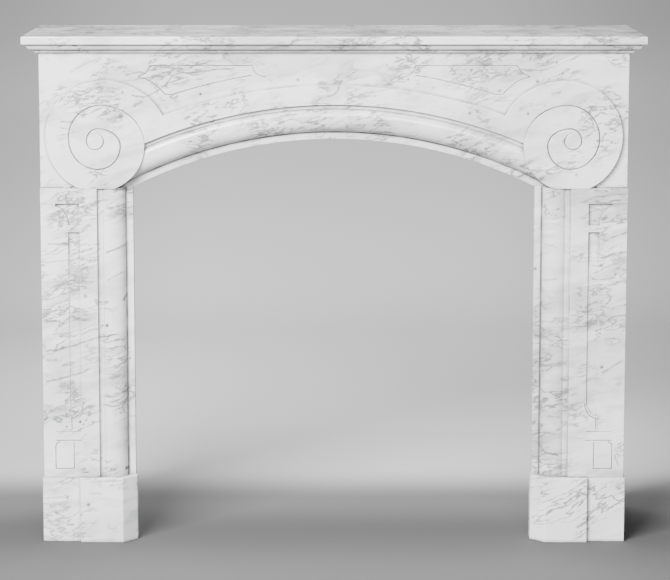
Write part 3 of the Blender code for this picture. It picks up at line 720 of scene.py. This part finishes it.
def make_lintel(moulding, relief, panel, material):
    field_y = FRONT_Y + relief.lintel_setback
    body_radius = ARCH_RADIUS + moulding_width(moulding) * BODY_START
    reach_x = math.sqrt(body_radius ** 2 - (lintel_low.z - ARCH_CENTRE_Z) ** 2)
    right = arch_arc(body_radius, 0.0, reach_x, BODY_STEPS)
    right += [(OUTER_X, lintel_low.z), (OUTER_X, lintel_high.z)]
    build = bmesh.new()
    raise_plate(build, right + mirrored(right[1:]), field_y, SLAB_BACK_Y, relief.block_arris,
                lambda middle: abs(middle.x) > reach_x)
    line = panel_line(relief, panel, ARCH_RADIUS + moulding_width(moulding))
    engrave(build, [on_side(line, side) for _, side in SIDES], field_y, relief.line_width, relief.line_depth)
    add_arch_moulding(build, moulding, relief.arris)
    for _, side in SIDES:
        add_band_and_volute(build, moulding, relief, side, field_y + EMBED)
    middle = [vert for vert in build.verts if abs(vert.co.x) < SAME_PLACE]
    bmesh.ops.remove_doubles(build, verts=middle, dist=SAME_PLACE)
    return finish_piece("carved_lintel", build, ["lintel"], material)


def ring_at(inset, z):
    return [(shelf_low.x + inset, shelf_low.y + inset, z), (shelf_high.x - inset, shelf_low.y + inset, z),
            (shelf_high.x - inset, shelf_high.y, z), (shelf_low.x + inset, shelf_high.y, z)]


def make_shelf(sizes, material):
    ovolo_foot = (sizes.ovolo_foot_inset, shelf_low.z + sizes.fillet_height)
    ovolo_head = (sizes.ovolo_head_inset, ovolo_foot[1] + sizes.ovolo_height)
    steps = sizes.curve_steps
    profile = [(sizes.fillet_inset, shelf_low.z), (sizes.fillet_inset, ovolo_foot[1])]
    profile += quarter_points(ovolo_foot, ovolo_head, False, steps)
    profile += arc((sizes.arris, ovolo_head[1] + sizes.arris), sizes.arris, -math.pi / 2, -math.pi, steps)
    profile += arc((sizes.arris, shelf_high.z - sizes.arris), sizes.arris, math.pi, math.pi / 2, steps)
    build = bmesh.new()
    loft(build, [ring_at(inset, z) for inset, z in profile])
    return finish_piece("moulded_shelf", build, ["shelf"], material)


def add_plate(build, outline, side, setback, back_y, relief, lines=()):
    """Add a plate to one jamb, with any incised lines on its face."""
    part = bmesh.new()
    raise_plate(part, on_side(outline, side), FRONT_Y + setback, back_y, relief.arris)
    if lines:
        engrave(part, [on_side(line, side) for line in lines], FRONT_Y + setback,
                relief.line_width, relief.line_depth)
    join_build(build, part)


def add_jamb_moulding(build, side, moulding, relief):
    """Draw the roll moulding's section up the whole jamb."""
    part = bmesh.new()
    faces = moulding_face(part, moulding, relief.arris, lambda out, setback: (
        side * (OPENING_X + out), FRONT_Y + setback, jamb_low.z))
    raised = bmesh.ops.extrude_face_region(part, geom=faces)["geom"]
    top = [item for item in raised if isinstance(item, bmesh.types.BMVert)]
    bmesh.ops.translate(part, verts=top, vec=(0.0, 0.0, jamb_high.z - jamb_low.z))
    join_build(build, part)


def add_channel_floor(build, side, jamb, inner_x, outer_x, low_z):
    """Fill the channel to its shallow part, and let it fall away into the recess at the head."""
    level_z = jamb_high.z - jamb.channel_start
    fall_z = jamb_high.z - jamb.recess_depth
    places = [(low_z, 0.0)]
    places += [(level_z + (fall_z - level_z) * step / FALL_STEPS, step / FALL_STEPS)
               for step in range(FALL_STEPS + 1)]
    fall = jamb.recess_setback + LAP - jamb.channel_setback
    back_y = FRONT_Y + jamb.recess_setback + EMBED
    sections = []
    for z, fallen in places:
        front_y = FRONT_Y + jamb.channel_setback + fall * fallen ** 2 * (3 - 2 * fallen)
        sections.append([(side * inner_x, front_y, z), (side * outer_x, front_y, z),
                         (side * outer_x, back_y, z), (side * inner_x, back_y, z)])
    part = bmesh.new()
    loft(part, sections)
    join_build(build, part)


def jamb_lines(jamb, channel_x, field_x, sweep):
    """Incised lines beside the channel's sweep, and of the bar and the box at a jamb's foot."""
    foot = jamb_low.z
    start_x = channel_x - LAP
    end_x = channel_x + jamb.bar_reach
    bar_foot, bar_head = foot + jamb.bar_foot, foot + jamb.bar_head
    box_x, box_foot = channel_x + jamb.box_start, foot + jamb.box_foot
    box_head = bar_foot - jamb.box_drop
    bar_line = bar_head - jamb.bar_line_drop
    bar_top = [(start_x, bar_line), (field_x, bar_line), (end_x, bar_line)]
    bar_bottom = [(start_x, bar_foot), (box_x, bar_foot), (end_x, bar_foot)]
    box = [(box_x, box_head), (box_x, box_foot), (end_x, box_foot)]
    corner = (end_x - jamb.box_corner, box_head - jamb.box_corner)
    box += arc(corner, jamb.box_corner, 0.0, math.pi / 2, CORNER_STEPS)
    inset = jamb.sweep_inset
    sweep_line = [(field_x - inset, bar_line + inset)] + [(x - inset, z - inset) for x, z in sweep]
    return [bar_top, bar_bottom, box, sweep_line]


def jamb_plates(jamb, channel_x, field_x):
    """Outlines of a jamb's raised frame, of its outer field and of the tab, and the lines on the frame."""
    foot, head = jamb_low.z, jamb_high.z
    recess_x = channel_x + jamb.recess_width
    bar_head = foot + jamb.bar_head
    crest = (jamb.crest_x, head - jamb.crest_drop)
    crown = quarter_points((field_x, head - jamb.shoulder_drop), crest, True, CROWN_STEPS)
    sweep = quarter_points((field_x + LAP, foot + jamb.sweep_low), (channel_x, foot + jamb.sweep_high),
                           False, SWEEP_STEPS)
    strip_x = channel_x - jamb.strip_width
    frame_plate = [(strip_x, foot), (OUTER_X, foot), (OUTER_X, bar_head), (field_x + LAP, bar_head)]
    frame_plate += sweep
    frame_plate += [(channel_x, head - jamb.head_height), (recess_x, head - jamb.head_height)]
    frame_plate += [(x, z - LAP) for x, z in crown if x > recess_x]
    frame_plate += [(OUTER_X, crest[1] - LAP), (OUTER_X, head), (strip_x, head)]
    field = [(field_x, bar_head - EMBED), (OUTER_X, bar_head - EMBED), (OUTER_X, crest[1])]
    field += reversed(crown)
    start_x, end_x = channel_x - LAP, field_x + jamb.tab_reach
    tab_head = head - jamb.tab_drop
    tab_foot = tab_head - jamb.tab_height
    tab = [(start_x, tab_foot), (end_x, tab_foot), (end_x, tab_head), (start_x, tab_head)]
    return frame_plate, field, tab, jamb_lines(jamb, channel_x, field_x, sweep)


def make_jamb(name, side, moulding, relief, jamb, material):
    strip_x = OPENING_X + moulding_width(moulding)
    channel_x = strip_x + jamb.strip_width
    field_x = channel_x + jamb.channel_width
    foot, head = jamb_low.z, jamb_high.z
    back_y = FRONT_Y + jamb.recess_setback
    body = [(strip_x - EMBED, foot), (OUTER_X, foot), (OUTER_X, head), (strip_x - EMBED, head)]
    build = bmesh.new()
    raise_plate(build, on_side(body, side), back_y, SLAB_BACK_Y, relief.block_arris,
                lambda middle: abs(middle.x) > strip_x)
    add_jamb_moulding(build, side, moulding, relief)
    frame_plate, field, tab, lines = jamb_plates(jamb, channel_x, field_x)
    add_plate(build, frame_plate, side, 0.0, back_y, relief, lines)
    add_plate(build, field, side, jamb.field_setback, back_y, relief)
    add_plate(build, tab, side, jamb.tab_setback, back_y, relief)
    add_channel_floor(build, side, jamb, channel_x - LAP, field_x + LAP, foot + jamb.sweep_low - EMBED)
    return finish_piece("carved_" + name, build, [name], material)


def make_plinth(name, side, relief, plinth, material):
    low, high = plinth_low, plinth_high
    step_x = low.x + plinth.chamfer + plinth.face_width
    step_y = low.y + plinth.step
    plan = [(low.x, high.y), (low.x, low.y + plinth.chamfer), (low.x + plinth.chamfer, low.y),
            (step_x, low.y), (step_x, step_y), (high.x, step_y), (high.x, high.y)]
    build = bmesh.new()
    face = build.faces.new([build.verts.new((side * x, y, low.z)) for x, y in plan])
    raised = bmesh.ops.extrude_face_region(build, geom=[face])["geom"]
    top = [item for item in raised if isinstance(item, bmesh.types.BMVert)]
    bmesh.ops.translate(build, verts=top, vec=(0.0, 0.0, high.z - low.z))
    sharp = [edge for edge in build.edges
             if min(vert.co.y for vert in edge.verts) < high.y - SAME_PLACE]
    ease(build, sharp, relief.block_arris)
    return finish_piece("carved_" + name, build, [name], material)


def make_return(name, plinth, material):
    low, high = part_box(name)
    build = bmesh.new()
    cube = bmesh.ops.create_cube(build, size=1.0)["verts"]
    bmesh.ops.scale(build, verts=cube, vec=high - low)
    bmesh.ops.translate(build, verts=cube, vec=(low + high) / 2)
    ease(build, build.edges[:], plinth.side_arris)
    return finish_piece("plain_" + name, build, [name], material)


def put(tree, kind, inputs=(), **settings):
    """Add a node; inputs pairs its sockets with values or with the sockets that feed them."""
    node = tree.nodes.new(kind)
    for name, value in settings.items():
        setattr(node, name, value)
    for socket, value in dict(inputs).items():
        if isinstance(value, bpy.types.NodeSocket):
            tree.links.new(value, node.inputs[socket])
        else:
            node.inputs[socket].default_value = value
    return node


def sums(tree, operation, *values):
    return put(tree, "ShaderNodeMath", enumerate(values), operation=operation).outputs["Value"]


def vectors(tree, operation, *values):
    return put(tree, "ShaderNodeVectorMath", enumerate(values), operation=operation).outputs["Vector"]


def measured(tree, operation, *values):
    return put(tree, "ShaderNodeVectorMath", enumerate(values), operation=operation).outputs["Value"]


def noise(tree, place, scale, detail, roughness, output="Fac"):
    settings = {"Vector": place, "Scale": scale, "Detail": detail, "Roughness": roughness}
    return put(tree, "ShaderNodeTexNoise", settings).outputs[output]


def between(tree, value, low, high, at_low=0.0, at_high=1.0):
    """Turn a value softly from at_low to at_high between low and high."""
    settings = {"Value": value, "From Min": low, "From Max": high, "To Min": at_low, "To Max": at_high}
    return put(tree, "ShaderNodeMapRange", settings, interpolation_type="SMOOTHSTEP").outputs["Result"]


def mottled(tree, place, settings, levels):
    """A noise that turns softly between two of its levels."""
    return between(tree, noise(tree, place, *settings), *levels)


def blend(tree, amount, first, second):
    settings = {"Factor": amount, MIX_FIRST: first, MIX_SECOND: second}
    return put(tree, "ShaderNodeMix", settings, data_type="RGBA").outputs[MIX_RESULT]


def new_group(name, inputs, outputs):
    """Start a node group; inputs and outputs pair socket names with socket types."""
    tree = bpy.data.node_groups.new(name, "ShaderNodeTree")
    for in_out, sockets in (("INPUT", inputs), ("OUTPUT", outputs)):
        for label, kind in sockets.items():
            tree.interface.new_socket(name=label, in_out=in_out, socket_type=kind)
    return tree, tree.nodes.new("NodeGroupInput").outputs, tree.nodes.new("NodeGroupOutput").inputs


def shared(tree, name, make, values):
    """Put in a node of a shared group, which its first use makes."""
    group = bpy.data.node_groups.get(name) or make()
    return put(tree, "ShaderNodeGroup", values, node_tree=group).outputs


def streaks(tree, place, patches, scale, width):
    """Thin lines where a noise crosses its middle, kept to the patches."""
    field = noise(tree, place, scale, STREAK_DETAIL, STREAK_ROUGHNESS)
    off_middle = sums(tree, "ABSOLUTE", sums(tree, "SUBTRACT", field, NOISE_MIDDLE))
    return sums(tree, "MULTIPLY", between(tree, off_middle, 0.0, width, 1.0, 0.0), patches)


def ground_group():
    """Clouded white stone with fine grey veins that run along one way."""
    inputs = {"Vector": VECTOR, "Clouds": FLOAT, "Veins": FLOAT, "Smears": FLOAT,
              "Ground": COLOR, "Cloud": COLOR, "Vein": COLOR}
    tree, given, result = new_group("marble_ground", inputs, {"Color": COLOR})
    bend = noise(tree, given["Vector"], *BEND_NOISE, output="Color")
    bend = vectors(tree, "SUBTRACT", bend, (NOISE_MIDDLE,) * 3)
    bent = vectors(tree, "MULTIPLY_ADD", bend, BEND, given["Vector"])
    drawn = vectors(tree, "MULTIPLY", bent, DRAWN_OUT)
    haze = mottled(tree, drawn, *HAZE)
    cloud = sums(tree, "MULTIPLY", mottled(tree, drawn, *CLOUD), 1 - HAZE_SHARE)
    clouds = sums(tree, "MULTIPLY_ADD", haze, HAZE_SHARE, cloud)
    tint = blend(tree, sums(tree, "MULTIPLY", clouds, given["Clouds"]), given["Ground"], given["Cloud"])
    wide_patches = mottled(tree, bent, *WIDE_PATCHES)
    fine_patches = mottled(tree, bent, *FINE_PATCHES)
    smears = sums(tree, "MULTIPLY", streaks(tree, drawn, wide_patches, *SMEARS), given["Smears"])
    tint = blend(tree, sums(tree, "MULTIPLY", smears, SMEAR_DEPTH), tint, given["Vein"])
    veins = sums(tree, "MAXIMUM", streaks(tree, drawn, wide_patches, *WIDE_VEINS),
                 streaks(tree, drawn, fine_patches, *FINE_VEINS))
    grains = sums(tree, "MULTIPLY", mottled(tree, drawn, *GRAINS), fine_patches)
    veining = sums(tree, "MULTIPLY", sums(tree, "MAXIMUM", veins, grains), given["Veins"])
    tint = blend(tree, sums(tree, "MULTIPLY", veining, VEIN_DEPTH), tint, given["Vein"])
    tree.links.new(tint, result["Color"])
    return tree


def vein_group():
    """One dark vein between two points of the front, seen right through the slab."""
    inputs = {"Vector": VECTOR, "From": VECTOR, "To": VECTOR, "Width": FLOAT, "Strength": FLOAT}
    tree, given, result = new_group("marble_vein", inputs, {"Mask": FLOAT})
    run = vectors(tree, "SUBTRACT", given["To"], given["From"])
    there = vectors(tree, "SUBTRACT", given["Vector"], given["From"])
    along = sums(tree, "DIVIDE", measured(tree, "DOT_PRODUCT", there, run),
                 measured(tree, "DOT_PRODUCT", run, run))
    along = put(tree, "ShaderNodeClamp", {"Value": along}).outputs["Result"]
    nearest = put(tree, "ShaderNodeVectorMath", {0: run, "Scale": along}, operation="SCALE").outputs["Vector"]
    away = measured(tree, "LENGTH", vectors(tree, "SUBTRACT", there, nearest))
    core = sums(tree, "MULTIPLY", given["Width"], VEIN_CORE)
    mask = between(tree, away, core, sums(tree, "MULTIPLY", given["Width"], VEIN_EDGE), 1.0, 0.0)
    tree.links.new(sums(tree, "MULTIPLY", mask, given["Strength"]), result["Mask"])
    return tree


def painted_light_and_wear_group():
    """Masks of the painted shade, with grey grime, in the recesses and of the painted highlight, with
    rubbing, along the arrises.
    """
    inputs = {"Vector": VECTOR, "Reach": FLOAT, "Arris": FLOAT}
    tree, given, result = new_group("stone_painted_light_and_wear", inputs, {"Grime and shade": FLOAT, "Rubbed and highlit": FLOAT})
    # Painted shade: the occlusion darkens the recesses where shade falls, broken into patches like grime.
    open_share = put(tree, "ShaderNodeAmbientOcclusion", {"Distance": given["Reach"]},
                     samples=WEAR_SAMPLES).outputs["AO"]
    patchy = mottled(tree, given["Vector"], *DUST_PATCHES)
    dust_and_shade = sums(tree, "MULTIPLY", between(tree, open_share, *SHADE_AND_DUST_LEVELS), patchy)
    tree.links.new(dust_and_shade, result["Grime and shade"])
    # Painted highlight: where the surface turns at an arris it is made whiter, as if lit, along with rubbing.
    rounded = put(tree, "ShaderNodeBevel", {"Radius": given["Arris"]},
                  samples=WEAR_SAMPLES).outputs["Normal"]
    flat = put(tree, "ShaderNodeNewGeometry").outputs["Normal"]
    turned = measured(tree, "DOT_PRODUCT", rounded, flat)
    tree.links.new(between(tree, turned, *HIGHLIGHT_AND_WEAR_LEVELS), result["Rubbed and highlit"])
    return tree


def marble(block, look):
    """Marble of one block, with its own run of clouds and veins."""
    turn, place, clouds, veins, smears, dark_veins, dark_spots = BLOCKS[block]
    material = bpy.data.materials.new(block + "_marble")
    material.use_nodes = True
    tree = material.node_tree
    shader = tree.nodes["Principled BSDF"]
    here = put(tree, "ShaderNodeTexCoord").outputs["Object"]
    sawn = put(tree, "ShaderNodeMapping", {"Vector": here, "Location": place,
                                           "Rotation": (0.0, math.radians(turn), 0.0)}).outputs["Vector"]
    vein = (*look.vein, 1.0)
    values = {"Vector": sawn, "Clouds": clouds, "Veins": veins, "Smears": smears,
              "Ground": (*look.ground, 1.0), "Cloud": (*look.cloud, 1.0), "Vein": vein}
    tint = shared(tree, "marble_ground", ground_group, values)["Color"]
    if dark_veins:
        tint = blend(tree, dark_mask(tree, here, dark_veins, dark_spots), tint, vein)
    painted_light_and_wear = shared(tree, "stone_painted_light_and_wear", painted_light_and_wear_group,
                  {"Vector": here, "Reach": look.recess_reach, "Arris": look.arris_reach})
    # Painted highlight with rubbing, laid along the arrises.
    worn_and_highlit = sums(tree, "MULTIPLY", painted_light_and_wear["Rubbed and highlit"], look.highlight_and_wear_share)
    tint = blend(tree, worn_and_highlit, tint, (*look.edge, 1.0))
    # Painted shade with grime, laid into the recesses.
    dust_and_shade = sums(tree, "MULTIPLY", painted_light_and_wear["Grime and shade"], look.recess_shade_and_dirt_share)
    tint = blend(tree, dust_and_shade, tint, (*look.recess_shade_and_dirt, 1.0))
    tree.links.new(tint, shader.inputs["Base Color"])
    rubbed = sums(tree, "MULTIPLY_ADD", dust_and_shade, DUST_ROUGHNESS, mottled(tree, sawn, *RUBBING))
    tree.links.new(sums(tree, "ADD", rubbed, look.roughness), shader.inputs["Roughness"])
    bump = put(tree, "ShaderNodeBump", {"Strength": GRAIN_STRENGTH, "Distance": look.grain_height,
                                        "Height": noise(tree, here, *GRAIN_NOISE)})
    tree.links.new(bump.outputs["Normal"], shader.inputs["Normal"])
    return material


def dark_mask(tree, here, veins, spots):
    """Mask of all of a block's dark veins and spots, a little ragged at their edges."""
    runs = [(start, end, width, strength) for width, strength, points in veins
            for start, end in zip(points, points[1:])]
    runs += [((x, z), (x, z), width, strength) for x, z, width, strength in spots]
    flat = vectors(tree, "MULTIPLY", here, (1.0, 0.0, 1.0))
    shake = noise(tree, here, *SHAKE_NOISE, output="Color")
    shake = vectors(tree, "SUBTRACT", shake, (NOISE_MIDDLE,) * 3)
    ragged = vectors(tree, "MULTIPLY_ADD", shake, VEIN_SHAKE, flat)
    masks = [shared(tree, "marble_vein", vein_group,
                    {"Vector": ragged, "From": (start[0], 0.0, start[1]), "To": (end[0], 0.0, end[1]),
                     "Width": width, "Strength": strength})["Mask"]
             for start, end, width, strength in runs]
    mask = masks[0]
    for other in masks[1:]:
        mask = sums(tree, "MAXIMUM", mask, other)
    return sums(tree, "MULTIPLY", mask, mottled(tree, here, *BREAKS))


class MANTEL_OT_shelf(bpy.types.Operator):
    """Model the moulded shelf"""
    bl_idname = "mantel.shelf"
    bl_label = "Shelf"

    def execute(self, context):
        scene = context.scene
        make_shelf(scene.mantel_shelf, marble("shelf", scene.mantel_marble))
        return {"FINISHED"}


class MANTEL_OT_lintel(bpy.types.Operator):
    """Model the arched lintel with its band and volutes"""
    bl_idname = "mantel.lintel"
    bl_label = "Lintel"

    def execute(self, context):
        scene = context.scene
        make_lintel(scene.mantel_moulding, scene.mantel_relief, scene.mantel_panel,
                    marble("lintel", scene.mantel_marble))
        return {"FINISHED"}


class MANTEL_OT_jambs(bpy.types.Operator):
    """Model the two carved jambs"""
    bl_idname = "mantel.jambs"
    bl_label = "Jambs"

    def execute(self, context):
        scene = context.scene
        for name, side in SIDES:
            make_jamb("jamb_" + name, side, scene.mantel_moulding, scene.mantel_relief, scene.mantel_jamb,
                      marble("jamb_" + name, scene.mantel_marble))
        return {"FINISHED"}


class MANTEL_OT_plinths(bpy.types.Operator):
    """Model the two chamfered plinths"""
    bl_idname = "mantel.plinths"
    bl_label = "Plinths"

    def execute(self, context):
        scene = context.scene
        for name, side in SIDES:
            make_plinth("plinth_" + name, side, scene.mantel_relief, scene.mantel_plinth,
                        marble("plinth_" + name, scene.mantel_marble))
        return {"FINISHED"}


class MANTEL_OT_returns(bpy.types.Operator):
    """Model the plain side slabs and their plinths"""
    bl_idname = "mantel.returns"
    bl_label = "Side slabs"

    def execute(self, context):
        scene = context.scene
        for name, _ in SIDES:
            for node in ("return_" + name, "plinth_return_" + name):
                make_return(node, scene.mantel_plinth, marble(node, scene.mantel_marble))
        return {"FINISHED"}


def backdrop_material(studio):
    """Matt grey paper with painted shade, darker just behind the feet, towards the top and away from the
    middle, and clear from behind.
    """
    material = bpy.data.materials.new("studio_grey")
    material.use_nodes = True
    tree = material.node_tree
    paper = tree.nodes["Principled BSDF"]
    paper.inputs["Roughness"].default_value = PAPER_ROUGHNESS
    here = put(tree, "ShaderNodeTexCoord").outputs["Object"]
    parts = put(tree, "ShaderNodeSeparateXYZ", {"Vector": here}).outputs
    along = sums(tree, "ADD", parts["Y"], parts["Z"])
    # Painted shade and light: tones along the floor and up the wall.
    low, high = BACKDROP_PAINTED_SHADING[0][0], BACKDROP_PAINTED_SHADING[-1][0]
    position = put(tree, "ShaderNodeMapRange", {"Value": along, "From Min": low, "From Max": high})
    ramp = put(tree, "ShaderNodeValToRGB", {"Fac": position.outputs["Result"]})
    ramp.color_ramp.interpolation = "EASE"
    stops = ramp.color_ramp.elements
    while len(stops) < len(BACKDROP_PAINTED_SHADING):
        stops.new(1.0)
    for stop, (place, tone) in zip(stops, BACKDROP_PAINTED_SHADING):
        stop.position = (place - low) / (high - low)
        stop.color = (*(part * tone for part in studio.floor), 1.0)
    # Painted falloff of light away from the middle.
    sideways = sums(tree, "ABSOLUTE", parts["X"])
    painted_falloff = between(tree, sideways, PAINTED_FALLOFF_FROM, PAINTED_FALLOFF_TO, 1.0, PAINTED_FALLOFF_SHARE)
    tree.links.new(vectors(tree, "MULTIPLY", ramp.outputs["Color"], painted_falloff), paper.inputs["Base Color"])
    clear = put(tree, "ShaderNodeBsdfTransparent").outputs["BSDF"]
    behind = put(tree, "ShaderNodeNewGeometry").outputs["Backfacing"]
    shown = put(tree, "ShaderNodeMixShader", {"Fac": behind, 1: paper.outputs["BSDF"], 2: clear})
    tree.links.new(shown.outputs["Shader"], tree.nodes["Material Output"].inputs["Surface"])
    return material


def add_backdrop(studio):
    """Draw a floor's edge back, up a wide curve and on as a wall."""
    build = bmesh.new()
    ends = [build.verts.new((x, -BACKDROP_REACH, 0.0)) for x in (-BACKDROP_REACH, BACKDROP_REACH)]
    edge = build.edges.new(ends)
    places = arc((CURVE_Y, CURVE_RADIUS), CURVE_RADIUS, -math.pi / 2, 0.0, CURVE_STEPS)
    places.append((CURVE_Y + CURVE_RADIUS, WALL_HEIGHT))
    for y, z in places:
        made = bmesh.ops.extrude_edge_only(build, edges=[edge])["geom"]
        edge = next(item for item in made if isinstance(item, bmesh.types.BMEdge)
                    and all(vert in made for vert in item.verts))
        for vert in edge.verts:
            vert.co.y = y
            vert.co.z = z
    bmesh.ops.recalc_face_normals(build, faces=build.faces)
    lowest = min(build.faces, key=lambda face: face.calc_center_median().z)
    if lowest.normal.z < 0.0:
        bmesh.ops.reverse_faces(build, faces=build.faces)
    mesh = bpy.data.meshes.new("studio_floor")
    build.to_mesh(mesh)
    build.free()
    mesh.shade_smooth()
    floor = bpy.data.objects.new("studio_floor", mesh)
    bpy.context.scene.collection.objects.link(floor)
    mesh.materials.append(backdrop_material(studio))


def add_light(name, place, aim, width, height, watts):
    light = bpy.data.lights.new(name, "AREA")
    light.shape = "RECTANGLE"
    light.size = width
    light.size_y = height
    light.energy = watts
    obj = bpy.data.objects.new(name, light)
    obj.location = place
    obj.rotation_euler = (Vector(aim) - Vector(place)).to_track_quat("-Z", "Y").to_euler()
    obj.visible_camera = False
    bpy.context.scene.collection.objects.link(obj)


def add_camera(studio):
    camera = bpy.data.cameras.new("studio_camera")
    camera.lens = CAMERA_LENS
    camera.shift_x, camera.shift_y = CAMERA_SHIFT
    obj = bpy.data.objects.new("studio_camera", camera)
    obj.location = (studio.camera_offset, -studio.camera_distance, studio.camera_height)
    obj.rotation_euler = (math.pi / 2 - CAMERA_PITCH, 0.0, 0.0)
    bpy.context.scene.collection.objects.link(obj)
    bpy.context.scene.camera = obj


def add_world():
    world = bpy.data.worlds.new("studio_air")
    world.use_nodes = True
    background = world.node_tree.nodes["Background"]
    background.inputs["Color"].default_value = (1.0, 1.0, 1.0, 1.0)
    background.inputs["Strength"].default_value = AIR_STRENGTH
    bpy.context.scene.world = world


class MANTEL_OT_stage(bpy.types.Operator):
    """Add the floor, the lights and the camera"""
    bl_idname = "mantel.stage"
    bl_label = "Studio"

    def execute(self, context):
        studio = context.scene.mantel_studio
        add_backdrop(studio)
        add_world()
        for name, settings in LIGHTS.items():
            add_light(name, *settings)
        add_camera(studio)
        return {"FINISHED"}


class MANTEL_PT_panel(bpy.types.Panel):
    """Buttons that make the mantel"""
    bl_idname = "MANTEL_PT_panel"
    bl_label = "Marble mantel"
    bl_space_type = "VIEW_3D"
    bl_region_type = "UI"
    bl_category = "Mantel"

    def draw(self, context):
        layout = self.layout
        for operator in OPERATORS:
            layout.operator(operator.bl_idname)


GROUPS = (
    ("mantel_shelf", MantelShelfSizes),
    ("mantel_moulding", MantelMouldingSizes),
    ("mantel_relief", MantelReliefSizes),
    ("mantel_panel", MantelPanelSizes),
    ("mantel_jamb", MantelJambSizes),
    ("mantel_plinth", MantelPlinthSizes),
    ("mantel_marble", MantelMarble),
    ("mantel_studio", MantelStudio),
)
OPERATORS = (MANTEL_OT_shelf, MANTEL_OT_lintel, MANTEL_OT_jambs, MANTEL_OT_plinths, MANTEL_OT_returns,
             MANTEL_OT_stage)


def register():
    for name, group in GROUPS:
        bpy.utils.register_class(group)
        setattr(bpy.types.Scene, name, bpy.props.PointerProperty(type=group))
    for operator in OPERATORS:
        bpy.utils.register_class(operator)
    bpy.utils.register_class(MANTEL_PT_panel)


def unregister():
    bpy.utils.unregister_class(MANTEL_PT_panel)
    for operator in reversed(OPERATORS):
        bpy.utils.unregister_class(operator)
    for name, group in reversed(GROUPS):
        delattr(bpy.types.Scene, name)
        bpy.utils.unregister_class(group)


def main():
    register()
    bpy.ops.mantel.shelf()
    bpy.ops.mantel.lintel()
    bpy.ops.mantel.jambs()
    bpy.ops.mantel.plinths()
    bpy.ops.mantel.returns()
    bpy.ops.mantel.stage()


if __name__ == "__main__":
    main()
